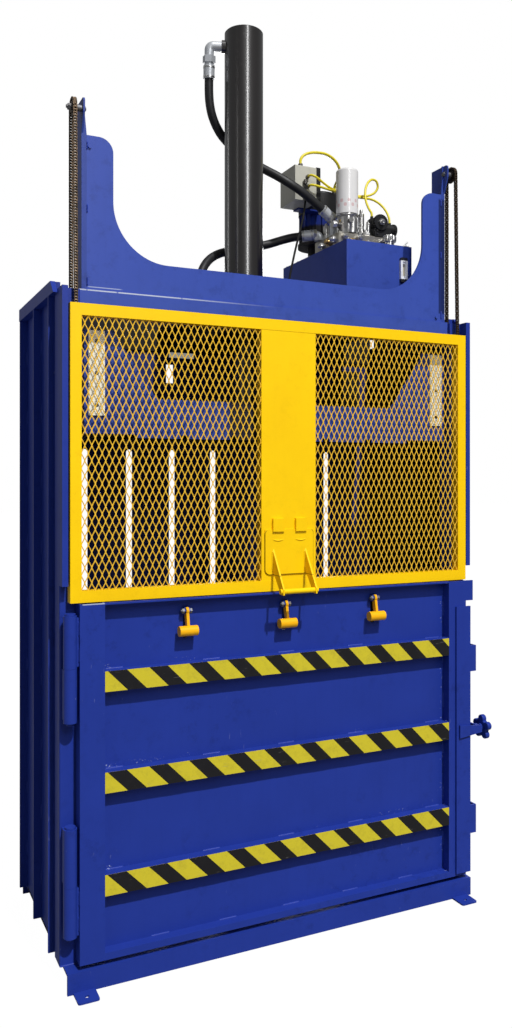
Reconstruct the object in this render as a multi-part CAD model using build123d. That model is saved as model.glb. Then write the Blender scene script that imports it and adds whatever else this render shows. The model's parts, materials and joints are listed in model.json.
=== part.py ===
from build123d import *
import os
from math import cos, pi, radians, sin, sqrt, tan

# A vertical recycling baler: a welded frame around a baling chamber, a hinged lower door,
# a lift gate with two counterweight chains, a platen driven down by one hydraulic cylinder
# and a power unit on the roof. Millimetres, Z up, front towards -Y, origin on the floor
# in the middle of the four anchor bolts.

# Base and floor
base_width = 1650.0
base_depth = 790.0
sill_height = 70.0
sill_wall = 8.0
sill_flange = 110.0
anchor_inset = 56.0
anchor_reach = 35.0
anchor_hole = 14.0
tab_width = 74.0
tab_thickness = 6.0
tab_edge = 31.0
runner_thickness = 10.0
strap_count = 7
strap_margin = 142.5
strap_gap = 28.0
floor_bar_thickness = 12.0
floor_bar_margin = 66.0
floor_bar_rear_gap = 7.0
runner_spread = 0.62

# Posts, walls and roof frame
wall_inset = 7.0
post_inset = 50.0
post_width = 70.0
post_depth = 76.0
post_wall = 5.0
post_front = -335.0
post_top = 2335.0
guide_depth = 40.0
guide_thickness = 20.0
guide_bottom = 1340.0
wall_thickness = 6.0
wall_top = 2322.0
rib_reach = 30.0
rib_thickness = 8.0
rib_places = (-231.0, 25.0, 299.0)
roof_band_height = 46.0
roof_band_cut = 47.0
roof_band_front = -311.0
roof_band_rear = 315.0
back_plate_front = 357.0
back_plate_thickness = 8.0
strap_slot_bottom = 100.0
strap_slot_top = 1820.0
hat_width = 60.0
hat_depth = 30.0
hat_wall = 5.0
closed_slot = 5
closed_slot_cover = 44.0
cover_thickness = 3.0
window_left = -220.0
window_width = 34.0
window_bottom = 2111.0
window_height = 81.0

# Crosshead and chain towers
crosshead_front_face = -312.0
crosshead_plate = 10.0
header_bottom = 2245.0
header_top = 2340.0
header_proud = 6.0
crosshead_top = 2450.0
ear_top = 2866.0
ear_width = 93.0
ear_round = 50.0
throat_round = 200.0
tower_top = 2984.0
tower_wall = 6.0
tower_inset = 10.0
tower_leg = 18.0
tower_lip = 12.0
tower_side_depth = 80.0
tower_head_reach = 26.0
tower_head_height = 49.0
tower_head_slope = 65.0
tower_head_round = 12.0
rear_beam_top = 2368.0
mount_plate_bottom = 2320.0
mount_plate_thickness = 25.0
mount_plate_half = 260.0
mount_web_place = 200.0
rail_size = 50.0
rail_wall = 6.0

# Cylinder and platen
cylinder_y = 25.0
barrel_outside = 158.0
barrel_bore = 127.0
barrel_top = 3523.0
barrel_end_wall = 30.0
flange_diameter = 230.0
flange_thickness = 20.0
gland_length = 40.0
nose_diameter = 110.0
nose_reach = 35.0
rod_diameter = 76.0
spigot_diameter = 50.0
piston_park = 200.0
piston_length = 60.0
rod_nut = 80.0
rod_nut_height = 20.0
port_diameter = 38.0
upper_port_drop = 57.0
lower_port_rise = 55.0
port_bore = 16.0
port_boss = 12.0
port_boss_rim = 6.0
port_nut = 46.0
port_nut_length = 26.0
port_neck = 30.0
port_neck_length = 10.0
flange_bolts = 8
flange_bolt = 16.0
flange_bolt_circle = 196.0
flange_bolt_head = 24.0
flange_bolt_head_height = 10.0
flange_bolt_nut_height = 13.0
platen_bottom = 1838.0
platen_bar = 12.0
platen_plate = 12.0
platen_side_gap = 18.0
platen_front = -315.0
platen_skirt = 8.0
platen_rear = 345.0
platen_band_top = 1976.0
platen_wing_foot_inset = 261.0
platen_wing_head_inset = 110.0
platen_wing_knee = 2190.0
platen_wing_top = 2205.0
platen_web_drop = 14.0
strip_inset = 71.0
strip_width = 57.0
strip_thickness = 6.0
strip_bottom = 1912.0
strip_top = 2201.0
rod_pin_diameter = 40.0
rod_pin_z = 1910.0
rod_eye_width = 60.0
lug_thickness = 20.0
lug_rise = 36.0
lug_foot_half = 70.0
lug_head_half = 34.0

# Lift gate
gate_front = -379.0
gate_tube = 38.0
gate_overlap = 44.0
gate_bottom = 1284.0
gate_top = 2280.0
gate_tube_wall = 3.0
panel_half_width = 112.5
panel_thickness = 3.0
panel_recess = 1.0
mesh_columns = 9
mesh_rows = 6
mesh_strand = 9.0
mesh_thickness = 3.0
handle_half_width = 100.0
handle_bottom = 1345.0
handle_top = 1510.0
handle_plate = 5.0
handle_bar = 19.0
handle_bar_y = -457.0
handle_bar_z = 1291.0
handle_gusset_place = 66.5
gusset_thickness = 6.0
pad_inner = 24.0
pad_outer = 70.0
pad_depth = 12.0
pad_lap = 8.0
pad_rise = 40.0

# Lift chains
chain_pitch = 9.525
chain_teeth = 19
chain_width = 11.0
chain_offset = 20.0
chain_waist = 6.2
chain_height = 9.0
roller_diameter = 5.08
sprocket_y = -316.0
sprocket_z = 2950.0
sprocket_tooth = 4.2
sprocket_hub = 38.0
chain_lug_y = -357.0
chain_end_pin = 4.0
chain_end_drop = 12.0
chain_end_margin = 5.0
axle_diameter = 12.0
axle_nut = 19.0
axle_lock_nut = 17.0
axle_lock_nut_height = 6.0
counterweight_eye = 12.0
counterweight_bottom = 1450.0
counterweight_top = 2250.0

# Door
door_left_inset = 41.0
door_right_inset = 24.0
door_bottom = 89.0
door_top = 1281.0
door_front = -395.0
stile_width = 85.0
stile_depth = 56.0
stile_wall = 5.0
skin_thickness = 6.0
skin_front = -355.0
door_rails = ((302.0, 373.0), (645.0, 715.0), (984.0, 1053.0))
door_foot_top = 113.0
tape_thickness = 0.5
tape_period = 145.0
tape_black = 66.0
hinge_inset = 14.0
hinge_y = -373.0
hinge_outside = 46.0
hinge_pin = 24.0
hinge_spans = ((890.0, 1069.0, 1243.0), (182.0, 350.0, 540.0))
door_knuckles = (1, 0)
corner_plate_reach = 35.0
corner_plate_height = 81.0

# Latch
latch_inset = 53.0
latch_reach = 17.0
latch_thickness = 8.0
latch_bottom = 100.0
latch_top = 1178.0
hook_spans = ((912.0, 1017.0), (254.0, 368.0))
hook_wall = 6.0
hook_depth = 95.0
latch_arm_z = 674.0
knob_screw_y = -385.0
knob_screw = 12.0
knob_diameter = 100.0
knob_reach = 78.0
knob_thickness = 20.0
knob_lobes = 5

# Retainer dogs
dog_places = (-400.0, -10.0, 377.0)
dog_pivot_y = -372.0
dog_pivot_z = 1233.0
dog_arm = 10.0
dog_bolt = 10.0
dog_weight_diameter = 36.0
dog_weight_length = 68.0
dog_weight_y = -386.0
dog_weight_z = 1165.0
dog_tooth_y = -326.0
dog_slot_width = 16.0
dog_slot_bottom = 1135.0
dog_slot_top = 1246.0

# Power unit
tank_left = 359.0
tank_right = 679.0
tank_front = -195.0
tank_rear = 375.0
tank_bottom = 2368.0
tank_top = 2670.0
tank_wall = 4.0
tank_round = 6.0
lid_thickness = 6.0
gauge_left = 615.0
gauge_width = 33.0
gauge_bottom = 2516.0
gauge_height = 103.0
gauge_depth = 12.0
motor_x = 486.0
motor_y = 265.0
motor_diameter = 180.0
motor_fins = 20
motor_fin_height = 7.0
motor_fin = 4.0
adapter_diameter = 98.0
adapter_top = 2750.0
motor_flange_thickness = 16.0
fan_cover_bottom = 2896.0
fan_cover_top = 2990.0
pump_diameter = 110.0
pump_length = 150.0
filter_x = 457.0
filter_y = -35.0
filter_diameter = 94.0
filter_bottom = 2820.0
filter_top = 3011.0
filter_head_flats = 78.0
filter_head_height = 62.0
manifold_left = 392.0
manifold_right = 655.0
manifold_front = -75.0
manifold_rear = 128.0
manifold_top = 2735.0
valve_left = 572.0
valve_right = 652.0
valve_y = -42.0
valve_depth = 70.0
valve_top = 2772.0
coil_diameter = 62.0
coil_length = 66.0
coil_x = 598.0
coil_z = 2795.0
side_coil_diameter = 52.0
side_coil_left = 622.0
side_coil_right = 684.0
side_coil_z = 2776.0
box_left = 265.0
box_width = 104.0
box_front = 75.0
box_depth = 140.0
box_bottom = 2893.0
box_height = 152.0
box_plate = 19.0
breather_x = 612.0
breather_y = -125.0
breather_diameter = 55.0
breather_neck = 40.0
breather_neck_top = 2700.0
breather_top = 2728.0
shelf_width = 40.0
shelf_depth = 50.0
hose_diameter = 36.0
ferrule_diameter = 46.0
ferrule_length = 52.0
motor_cable_diameter = 12.0
solenoid_cable_diameter = 10.0
control_cable_diameter = 9.0

# Clearances
pin_clearance = 0.1
seat_gap = 0.3
running_gap = 2.0
side_gap = 6.0

front_y = -base_depth / 2
half_base = base_width / 2
anchor_spacing_x = base_width - 2 * anchor_inset
anchor_spacing_y = base_depth + 2 * anchor_reach
chamber_half_width = half_base - wall_inset
strap_pitch = 2 * (chamber_half_width - strap_margin) / strap_count
post_inner = chamber_half_width - post_inset
post_outer = post_inner + post_width
post_rear = post_front + post_depth
wall_outer = chamber_half_width + wall_thickness
band_outer = wall_outer + rib_reach
band_top = wall_top + roof_band_height
tower_outer = post_inner - tower_inset
ear_outer = tower_outer - tower_leg
ear_inner = ear_outer - ear_width
chain_place = post_inner + chain_offset
platen_half_width = post_inner - platen_side_gap
platen_wing_foot = platen_half_width - platen_wing_foot_inset
platen_wing_head = platen_half_width - platen_wing_head_inset
strip_inner = platen_half_width - strip_inset
gate_half_width = post_inner + gate_overlap
gate_rear = gate_front + gate_tube
panel_front = gate_front + panel_recess
mullion_front = panel_front + panel_thickness
door_left = door_left_inset - half_base
door_right = half_base - door_right_inset
hinge_x = hinge_inset - half_base
latch_left = door_right - latch_inset
latch_right = door_right + latch_reach
knob_face = half_base + knob_reach
door_rear = door_front + stile_depth
crosshead_rear_face = crosshead_front_face + crosshead_plate
sprocket_radius = chain_pitch / sin(pi / chain_teeth) / 2
barrel_foot = mount_plate_bottom + mount_plate_thickness
piston_bottom = barrel_top - piston_park
upper_port_z = barrel_top - upper_port_drop
lower_port_z = barrel_foot + lower_port_rise
lid_bottom = tank_top - lid_thickness

parts = {}


# Shared shapes

def block(x0, x1, y0, y1, z0, z1):
    centre = Pos((x0 + x1) / 2, (y0 + y1) / 2, (z0 + z1) / 2)
    return centre * Box(abs(x1 - x0), abs(y1 - y0), abs(z1 - z0))


def front_profile(sketch, y0, y1):
    # A flat outline drawn in X and Z, given thickness from y0 back to y1.
    plane = Plane(origin=(0, y1, 0), x_dir=(1, 0, 0), z_dir=(0, -1, 0))
    return extrude(plane * sketch, amount=y1 - y0)


def side_profile(sketch, x0, x1):
    # A flat outline drawn in Y and Z, given thickness from x0 to x1.
    plane = Plane(origin=(x0, 0, 0), x_dir=(0, 1, 0), z_dir=(1, 0, 0))
    return extrude(plane * sketch, amount=x1 - x0)


def top_profile(sketch, z0, z1):
    return extrude(Plane.XY.offset(z0) * sketch, amount=z1 - z0)


def outline(*points):
    return make_face(Polyline(*points, close=True))


def rod_x(diameter, x0, x1, y, z):
    return side_profile(Pos(y, z) * Circle(diameter / 2), x0, x1)


def rod_z(diameter, x, y, z0, z1):
    return top_profile(Pos(x, y) * Circle(diameter / 2), z0, z1)


def hexagon(across_flats):
    return RegularPolygon(across_flats / sqrt(3), 6)


def other_side(shape):
    return mirror(shape, about=Plane.YZ)


def both_sides(shape):
    return [shape, other_side(shape)]


def grown(solid, additions):
    for addition in additions:
        solid = solid + addition
    return solid


def cut(solid, tools):
    for tool in tools:
        solid = solid - tool
    return solid


def bend_radii(points, share=0.45):
    # The largest even arc at each corner of a route: a share of its shorter run.
    radii = []
    for before, corner, after in zip(points, points[1:], points[2:]):
        first = Vector(*corner) - Vector(*before)
        second = Vector(*after) - Vector(*corner)
        half_turn = radians(first.get_angle(second)) / 2
        radii.append(share * min(first.length, second.length) / tan(half_turn))
    return radii


def routed_tube(name, points, diameter):
    radii = bend_radii(points)
    path = FilletPolyline(*points, radius=radii)
    start = Plane(origin=path @ 0, z_dir=path % 0)
    tube = sweep(start * Circle(diameter / 2), path=path)
    expected = pi * diameter ** 2 / 4 * path.length
    print(name, "length", round(path.length), "tightest bend", round(min(radii)),
          "volume share", round(tube.volume / expected, 4))
    return tube


# Base

def sill():
    h = sill_height
    y0 = front_y
    bar = side_profile(
        outline((y0, 0), (y0 + sill_wall, 0), (y0 + sill_wall, h - sill_wall),
                (y0 + sill_flange, h - sill_wall), (y0 + sill_flange, h), (y0, h)),
        -half_base, half_base)
    tab_end = -anchor_spacing_y / 2 - tab_edge
    tab_x = anchor_spacing_x / 2
    half = tab_width / 2
    shape = outline((tab_x - half, y0 + sill_wall), (tab_x - half + 1, tab_end),
                    (tab_x + half - 1, tab_end), (tab_x + half, y0 + sill_wall))
    outer_corners = shape.vertices().group_by(Axis.Y)[0]
    shape = fillet(outer_corners, 8)
    shape = shape - Pos(tab_x, -anchor_spacing_y / 2) * Circle(anchor_hole / 2)
    tab = top_profile(shape, 0, tab_thickness)
    return bar + tab + other_side(tab)


def floor():
    inner = front_y + sill_flange
    deck = block(-half_base, half_base, inner, -inner, sill_height - sill_wall, sill_height)
    leg = front_y + sill_wall
    for place in (-runner_spread, 0, runner_spread):
        x = place * half_base
        deck = deck + block(x - runner_thickness / 2, x + runner_thickness / 2,
                            leg, -leg, 0, sill_height - sill_wall)
    first = -(strap_count - 1) / 2 * strap_pitch
    bar_width = strap_pitch - strap_gap
    for i in range(strap_count - 1):
        x = first + (i + 0.5) * strap_pitch
        deck = deck + block(x - bar_width / 2, x + bar_width / 2,
                            front_y + floor_bar_margin, back_plate_front - floor_bar_rear_gap,
                            sill_height, sill_height + floor_bar_thickness)
    return deck


parts["base_sills"] = Compound([sill(), mirror(sill(), about=Plane.XZ)])
parts["floor"] = floor()


# Posts

def front_post():
    outer = Rectangle(post_width, post_depth)
    inner = Rectangle(post_width - 2 * post_wall, post_depth - 2 * post_wall)
    section = fillet(outer.vertices(), 6) - fillet(inner.vertices(), 2)
    middle = Pos((post_inner + post_outer) / 2, (post_front + post_rear) / 2)
    post = top_profile(middle * section, sill_height, post_top)
    guide_inner = gate_half_width + side_gap
    guide = block(guide_inner, guide_inner + guide_thickness,
                  post_front - guide_depth, post_front + post_wall / 2, guide_bottom, post_top)
    return post + guide


def hinge_knuckle(z0, z1, on_door):
    barrel = rod_z(hinge_outside, hinge_x, hinge_y, z0, z1)
    if on_door:
        reach = outline((hinge_x, hinge_y - 12), (door_left, hinge_y - 12),
                        (door_left, hinge_y + 12), (hinge_x, hinge_y + 12))
    else:
        reach = outline((hinge_x - 20, hinge_y + 8), (hinge_x + 20, hinge_y + 8),
                        (hinge_x + 20, post_front), (hinge_x - 20, post_front))
    bore = rod_z(hinge_pin + 2 * pin_clearance, hinge_x, hinge_y, z0 - 1, z1 + 1)
    return barrel + top_profile(reach, z0 + 6, z1 - 6) - bore


def knuckles(on_door):
    result = []
    for (low, split, high), door_part in zip(hinge_spans, door_knuckles):
        lower = (low, split - seat_gap)
        upper = (split + seat_gap, high)
        z0, z1 = (lower, upper)[door_part if on_door else 1 - door_part]
        result.append(hinge_knuckle(z0, z1, on_door))
    return result


def strike_lug():
    # The stop on the post's outer side that the latch screw bears on.
    return block(post_outer, post_outer + latch_thickness, knob_screw_y - 12, post_rear - 20,
                 latch_arm_z - 20, latch_arm_z + 20)


parts["left_front_post"] = grown(other_side(front_post()), knuckles(False))
parts["right_front_post"] = front_post() + strike_lug()


# Side and back walls

def side_wall():
    wall = block(chamber_half_width, wall_outer, post_rear, back_plate_front,
                 sill_height, wall_top)
    for y in rib_places:
        wall = wall + block(wall_outer, band_outer, y - rib_thickness / 2, y + rib_thickness / 2,
                            sill_height, wall_top)
    band = side_profile(
        outline((post_rear, wall_top), (roof_band_rear, wall_top), (roof_band_rear, band_top),
                (post_rear, band_top)),
        chamber_half_width, band_outer)
    tip = side_profile(
        outline((roof_band_front, wall_top), (post_rear, wall_top), (post_rear, band_top),
                (roof_band_front + roof_band_cut, band_top)),
        post_outer, band_outer)
    return wall + band + tip


def back_wall():
    rear = back_plate_front + back_plate_thickness
    plate = block(-wall_outer, wall_outer, back_plate_front, rear, sill_height, band_top)
    first = -(strap_count - 1) / 2 * strap_pitch
    length = strap_slot_top - strap_slot_bottom
    middle = (strap_slot_top + strap_slot_bottom) / 2
    slots = []
    for i in range(strap_count):
        slots.append(Pos(first + i * strap_pitch, middle)
                     * SlotOverall(length, strap_gap, rotation=90))
    window = Rectangle(window_width, window_height)
    slots.append(Pos(window_left + window_width / 2, window_bottom + window_height / 2) * window)
    plate = cut(plate, [front_profile(s, back_plate_front - 1, rear + 1) for s in slots])
    channel = Rectangle(hat_width, hat_depth) - Pos(0, -hat_wall / 2) * Rectangle(
        hat_width - 2 * hat_wall, hat_depth - hat_wall)
    places = [first + (i + 0.5) * strap_pitch for i in range(strap_count - 1)]
    places += [-(wall_outer - hat_width / 2), wall_outer - hat_width / 2]
    for x in places:
        upright = Pos(x, rear + hat_depth / 2) * channel
        plate = plate + top_profile(upright, sill_height, band_top)
    # The plain strip that shuts one of the strap slots from behind.
    cover_x = first + (closed_slot - 1) * strap_pitch
    half_cover = closed_slot_cover / 2
    return plate + block(cover_x - half_cover, cover_x + half_cover, rear, rear + cover_thickness,
                         sill_height, strap_slot_top + half_cover)


parts["right_side_wall"] = side_wall()
parts["left_side_wall"] = other_side(parts["right_side_wall"])
parts["back_wall"] = back_wall()


# Crosshead

def crosshead_front():
    shape = outline((-ear_outer, header_top), (ear_outer, header_top), (ear_outer, ear_top),
                    (ear_inner, ear_top), (ear_inner, crosshead_top),
                    (-ear_inner, crosshead_top), (-ear_inner, ear_top), (-ear_outer, ear_top))
    throat = [v for v in shape.vertices()
              if abs(abs(v.X) - ear_inner) < 1 and abs(v.Y - crosshead_top) < 1]
    shape = fillet(throat, throat_round)
    crown = [v for v in shape.vertices()
             if abs(abs(v.X) - ear_inner) < 1 and abs(v.Y - ear_top) < 1]
    shape = fillet(crown, ear_round)
    plate = front_profile(shape, crosshead_front_face, crosshead_rear_face)
    header = block(-post_inner, post_inner, crosshead_front_face - header_proud,
                   crosshead_rear_face, header_bottom, header_top)
    return plate + header


def crosshead_rear():
    return block(-chamber_half_width, chamber_half_width, back_plate_front - crosshead_plate,
                 back_plate_front, header_bottom, rear_beam_top)


def cylinder_mount():
    y0 = crosshead_rear_face
    y1 = back_plate_front - crosshead_plate
    plate = block(-mount_plate_half, mount_plate_half, y0, y1, mount_plate_bottom, barrel_foot)
    plate = plate - rod_z(nose_diameter + 2, 0, cylinder_y, mount_plate_bottom - 1, barrel_foot + 1)
    plate = plate - bolt_holes(mount_plate_bottom, barrel_foot)
    for x in (-mount_web_place, mount_web_place):
        plate = plate + block(x - crosshead_plate / 2, x + crosshead_plate / 2,
                              y0, y1, header_bottom, mount_plate_bottom)
    return plate


def tank_rails():
    section = Rectangle(rail_size, rail_size) - Pos(rail_wall, -rail_wall) * Rectangle(
        rail_size, rail_size)
    y0 = crosshead_rear_face
    y1 = back_plate_front - crosshead_plate
    rails = []
    for x in (tank_left + rail_size, tank_right - rail_size):
        rails.append(front_profile(Pos(x, tank_bottom - rail_size / 2) * section, y0, y1))
    return rails


def roof_frame():
    # The rear beam, the plate that carries the cylinder and the two rails under the tank.
    return grown(crosshead_rear(), [cylinder_mount()] + tank_rails())


def tower():
    lip = tower_outer - tower_lip
    front_leg = outline((ear_outer, header_top), (tower_outer, header_top),
                        (tower_outer, tower_top), (lip, tower_top),
                        (lip, ear_top + tower_head_slope), (ear_outer, ear_top))
    leg = front_profile(front_leg, crosshead_front_face, crosshead_front_face + tower_wall)
    rear = crosshead_front_face + tower_side_depth
    head = crosshead_front_face - tower_head_reach
    head_foot = tower_top - tower_head_height
    side_shape = outline((crosshead_front_face, header_top),
                         (crosshead_front_face, head_foot - tower_head_slope),
                         (head, head_foot), (head, tower_top), (rear, tower_top),
                         (rear, header_bottom), (crosshead_rear_face, header_bottom),
                         (crosshead_rear_face, header_top))
    crown = side_shape.vertices().group_by(Axis.Y)[-1].sort_by(Axis.X)[0]
    side_shape = fillet(crown, tower_head_round)
    side = side_profile(side_shape, tower_outer - tower_wall, tower_outer)
    nut_room = rod_x(axle_lock_nut + 4, ear_outer - 1, tower_outer - tower_wall,
                     sprocket_y, sprocket_z)
    hole = rod_x(axle_diameter, tower_outer - tower_leg, tower_outer + 1, sprocket_y, sprocket_z)
    return leg - nut_room + side - hole


parts["crosshead_front"] = crosshead_front()
parts["chain_towers"] = Compound(both_sides(tower()))


# Hose routes

# Each corner of the upper hose is X, Y and its drop below the port's level.
upper_hose_corners = (
    (-128, 90, 126), (-126, 96, 171), (-121, 102, 217), (-109, 109, 260), (-87, 120, 297),
    (-56, 132, 331), (-15, 131, 368), (42, 134, 404), (92, 114, 436), (134, 86, 465),
    (172, 60, 491), (216, 40, 520), (265, 32, 546), (320, 30, 579), (372, 31, 614))
upper_hose_foot = 2852.0
hose_stretch = (upper_port_z - upper_hose_foot) / upper_hose_corners[-1][2]
upper_hose_route = [(x, y, upper_port_z - drop * hose_stretch) for x, y, drop in upper_hose_corners]
lower_hose_route = (
    (-175, 85, 2500), (-160, 96, 2541), (-136, 114, 2581), (-104, 134, 2614), (-61, 157, 2642),
    (-8, 176, 2664), (58, 191, 2683), (130, 198, 2702), (198, 193, 2722), (250, 177, 2741),
    (292, 156, 2753), (330, 135, 2757))

# Cable routes

motor_cable_route = (
    (301, 95, 3057), (301, 95, 3076), (312, 95, 3094), (333, 95, 3108), (362, 95, 3117),
    (394, 95, 3121),
    (426, 95, 3121), (459, 96, 3111), (488, 101, 3093), (508, 112, 3072), (520, 130, 3054),
    (526, 152, 3043), (530, 177, 3036), (532, 196, 3024), (532, 202, 3010), (532, 202, 2999))
upper_solenoid_route = (
    (323, 63, 2998), (323, 46, 2998), (334, 34, 2993), (356, 33, 2983), (390, 43, 2969),
    (433, 60, 2959), (477, 67, 2954), (522, 65, 2948), (557, 56, 2943), (587, 46, 2942),
    (617, 37, 2947), (644, 32, 2963), (656, 28, 2988), (644, 23, 3011), (616, 17, 3014),
    (591, 11, 2994), (574, 3, 2964), (565, -6, 2928), (565, -17, 2893), (572, -27, 2864),
    (581, -35, 2845), (581, -35, 2830))
lower_solenoid_route = (
    (325, 63, 2956), (325, 46, 2956), (336, 35, 2953), (362, 34, 2950), (402, 44, 2949),
    (445, 56, 2948), (487, 63, 2945), (528, 62, 2941), (563, 53, 2936), (593, 35, 2932),
    (620, 15, 2923), (643, -1, 2905), (658, -16, 2881), (666, -30, 2855), (668, -40, 2831),
    (668, -42, 2809))
control_cable_route = (
    (308, 61, 2962), (308, 61, 2930), (306, 59, 2894), (301, 57, 2854), (291, 55, 2807),
    (280, 55, 2763), (268, 55, 2720), (256, 55, 2676), (245, 55, 2630), (234, 55, 2583),
    (225, 55, 2534), (218, 55, 2484), (213, 55, 2433), (210, 55, 2384), (210, 55, 2357))


def ferrule_end(route, at_end):
    # Where a hose's sleeve stops, and the direction it points in.
    tip = Vector(*(route[-1] if at_end else route[0]))
    inner = Vector(*(route[-2] if at_end else route[1]))
    heading = (tip - inner).normalized()
    return tip + heading * ferrule_length, heading


def port_corner(route, port_z):
    # The corner of the elbow between a sleeve and the level of its port.
    end, heading = ferrule_end(route, False)
    return end + heading * ((port_z - end.Z) / heading.Z)


def port_heading(corner):
    return (corner - Vector(0, cylinder_y, corner.Z)).normalized()


upper_corner = port_corner(upper_hose_route, upper_port_z)
lower_corner = port_corner(lower_hose_route, lower_port_z)


# Cylinder


def bolt_circle(section, z0, z1):
    spots = PolarLocations(flange_bolt_circle / 2, flange_bolts)
    return top_profile(Pos(0, cylinder_y) * (Sketch() + spots * section), z0, z1)


def bolt_holes(z0, z1):
    return bolt_circle(Circle(flange_bolt / 2 + pin_clearance), z0 - 1, z1 + 1)


def cylinder_bolts():
    shanks = bolt_circle(Circle(flange_bolt / 2), mount_plate_bottom - flange_bolt,
                         barrel_foot + flange_thickness)
    head_foot = barrel_foot + flange_thickness
    hexagon_shape = hexagon(flange_bolt_head)
    heads = bolt_circle(hexagon_shape, head_foot, head_foot + flange_bolt_head_height)
    nuts = bolt_circle(hexagon_shape, mount_plate_bottom - flange_bolt_nut_height,
                       mount_plate_bottom)
    return shanks + heads + nuts


def cylinder_barrel():
    barrel = rod_z(barrel_outside, 0, cylinder_y, barrel_foot, barrel_top - barrel_end_wall)
    flange = rod_z(flange_diameter, 0, cylinder_y, barrel_foot, barrel_foot + flange_thickness)
    bore = rod_z(barrel_bore, 0, cylinder_y, barrel_foot - 1, barrel_top)
    body = barrel + flange - bolt_holes(barrel_foot, barrel_foot + flange_thickness)
    for corner in (upper_corner, lower_corner):
        heading = port_heading(corner)
        centre = Vector(0, cylinder_y, corner.Z)
        wall_middle = (barrel_bore + barrel_outside) / 4
        boss = Plane(origin=centre + heading * wall_middle, z_dir=heading)
        reach = barrel_outside / 2 + port_boss - wall_middle
        body = body + extrude(boss * Circle(port_diameter / 2 + port_boss_rim), amount=reach)
        duct = Plane(origin=centre, z_dir=heading)
        body = body - extrude(duct * Circle(port_bore / 2), amount=barrel_outside)
    return body - bore


def cylinder_gland():
    gland_top = barrel_foot + gland_length
    ring = rod_z(barrel_bore - 2 * pin_clearance, 0, cylinder_y, barrel_foot, gland_top)
    nose = rod_z(nose_diameter, 0, cylinder_y, barrel_foot - nose_reach, barrel_foot)
    bore = rod_z(rod_diameter + 2 * pin_clearance, 0, cylinder_y,
                 barrel_foot - nose_reach - 1, gland_top + 1)
    return ring + nose - bore


def piston_rod():
    half = rod_eye_width / 2
    shaft = rod_z(rod_diameter, 0, cylinder_y, rod_pin_z + lug_rise + running_gap, piston_bottom)
    eye = rod_x(rod_diameter, -half, half, cylinder_y, rod_pin_z)
    tang = block(-half, half, cylinder_y - rod_diameter / 2, cylinder_y + rod_diameter / 2,
                 rod_pin_z, rod_pin_z + lug_rise + running_gap)
    eye = eye + tang
    spigot = rod_z(spigot_diameter, 0, cylinder_y, piston_bottom, piston_bottom + piston_length)
    nut = top_profile(Pos(0, cylinder_y) * hexagon(rod_nut), piston_bottom + piston_length,
                      piston_bottom + piston_length + rod_nut_height)
    hole = rod_x(rod_pin_diameter + 2 * pin_clearance, -rod_eye_width, rod_eye_width,
                 cylinder_y, rod_pin_z)
    return shaft + eye + spigot + nut - hole


def piston():
    head = rod_z(barrel_bore - 2 * pin_clearance, 0, cylinder_y,
                 piston_bottom, piston_bottom + piston_length)
    head = head - rod_z(spigot_diameter, 0, cylinder_y,
                        piston_bottom - 1, piston_bottom + piston_length + 1)
    return head


def cylinder_cap():
    top = rod_z(barrel_outside, 0, cylinder_y, barrel_top - barrel_end_wall, barrel_top)
    rim = top.edges().group_by(Axis.Z)[-1]
    return chamfer(rim, 3)


parts["cylinder_barrel"] = cylinder_barrel()
parts["cylinder_bolts"] = cylinder_bolts()
parts["cylinder_cap"] = cylinder_cap()
parts["cylinder_gland"] = cylinder_gland()
parts["piston_rod"] = piston_rod()
parts["piston"] = piston()
parts["roof_frame"] = roof_frame()


# Platen

def platen():
    deck_bottom = platen_bottom + platen_bar
    deck_top = deck_bottom + platen_plate
    inner_front = platen_front + platen_skirt
    inner_rear = platen_rear - platen_skirt
    body = block(-platen_half_width, platen_half_width, inner_front, inner_rear,
                 deck_bottom, deck_top)
    skirt = outline((-platen_half_width, deck_bottom), (platen_half_width, deck_bottom),
                    (platen_half_width, platen_wing_top), (platen_wing_head, platen_wing_top),
                    (platen_wing_head, platen_wing_knee), (platen_wing_foot, platen_band_top),
                    (-platen_wing_foot, platen_band_top), (-platen_wing_head, platen_wing_knee),
                    (-platen_wing_head, platen_wing_top), (-platen_half_width, platen_wing_top))
    body = body + front_profile(skirt, platen_front, inner_front)
    body = body + front_profile(skirt, inner_rear, platen_rear)
    web_top = platen_band_top - platen_web_drop
    for x in (-platen_wing_foot, platen_wing_foot):
        body = body + block(x - 5, x + 5, inner_front, inner_rear, deck_top, web_top)
    first = -(strap_count - 1) / 2 * strap_pitch
    bar_width = strap_pitch - strap_gap
    for i in range(strap_count - 1):
        x = first + (i + 0.5) * strap_pitch
        body = body + block(x - bar_width / 2, x + bar_width / 2, platen_front, platen_rear,
                            platen_bottom, deck_bottom)
    lug_inner = rod_eye_width / 2 + running_gap
    cheek = outline((cylinder_y - lug_foot_half, deck_top), (cylinder_y + lug_foot_half, deck_top),
                    (cylinder_y + lug_head_half, rod_pin_z + lug_rise),
                    (cylinder_y - lug_head_half, rod_pin_z + lug_rise))
    cheek = cheek - Pos(cylinder_y, rod_pin_z) * Circle(rod_pin_diameter / 2 + pin_clearance)
    lug = side_profile(cheek, lug_inner, lug_inner + lug_thickness)
    return body + lug + other_side(lug)


def wear_strips():
    strip = block(strip_inner, strip_inner + strip_width, platen_front - strip_thickness,
                  platen_front, strip_bottom, strip_top)
    return Compound(both_sides(strip))


def rod_pin():
    reach = rod_eye_width / 2 + running_gap + lug_thickness
    pin = rod_x(rod_pin_diameter, -reach - 4, reach + 4, cylinder_y, rod_pin_z)
    head = rod_x(rod_pin_diameter + 14, reach + seat_gap, reach + 10, cylinder_y, rod_pin_z)
    return pin + head + other_side(head)


parts["platen"] = platen()
parts["platen_wear_strips"] = wear_strips()
parts["rod_pin"] = rod_pin()


# Lift gate

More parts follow.
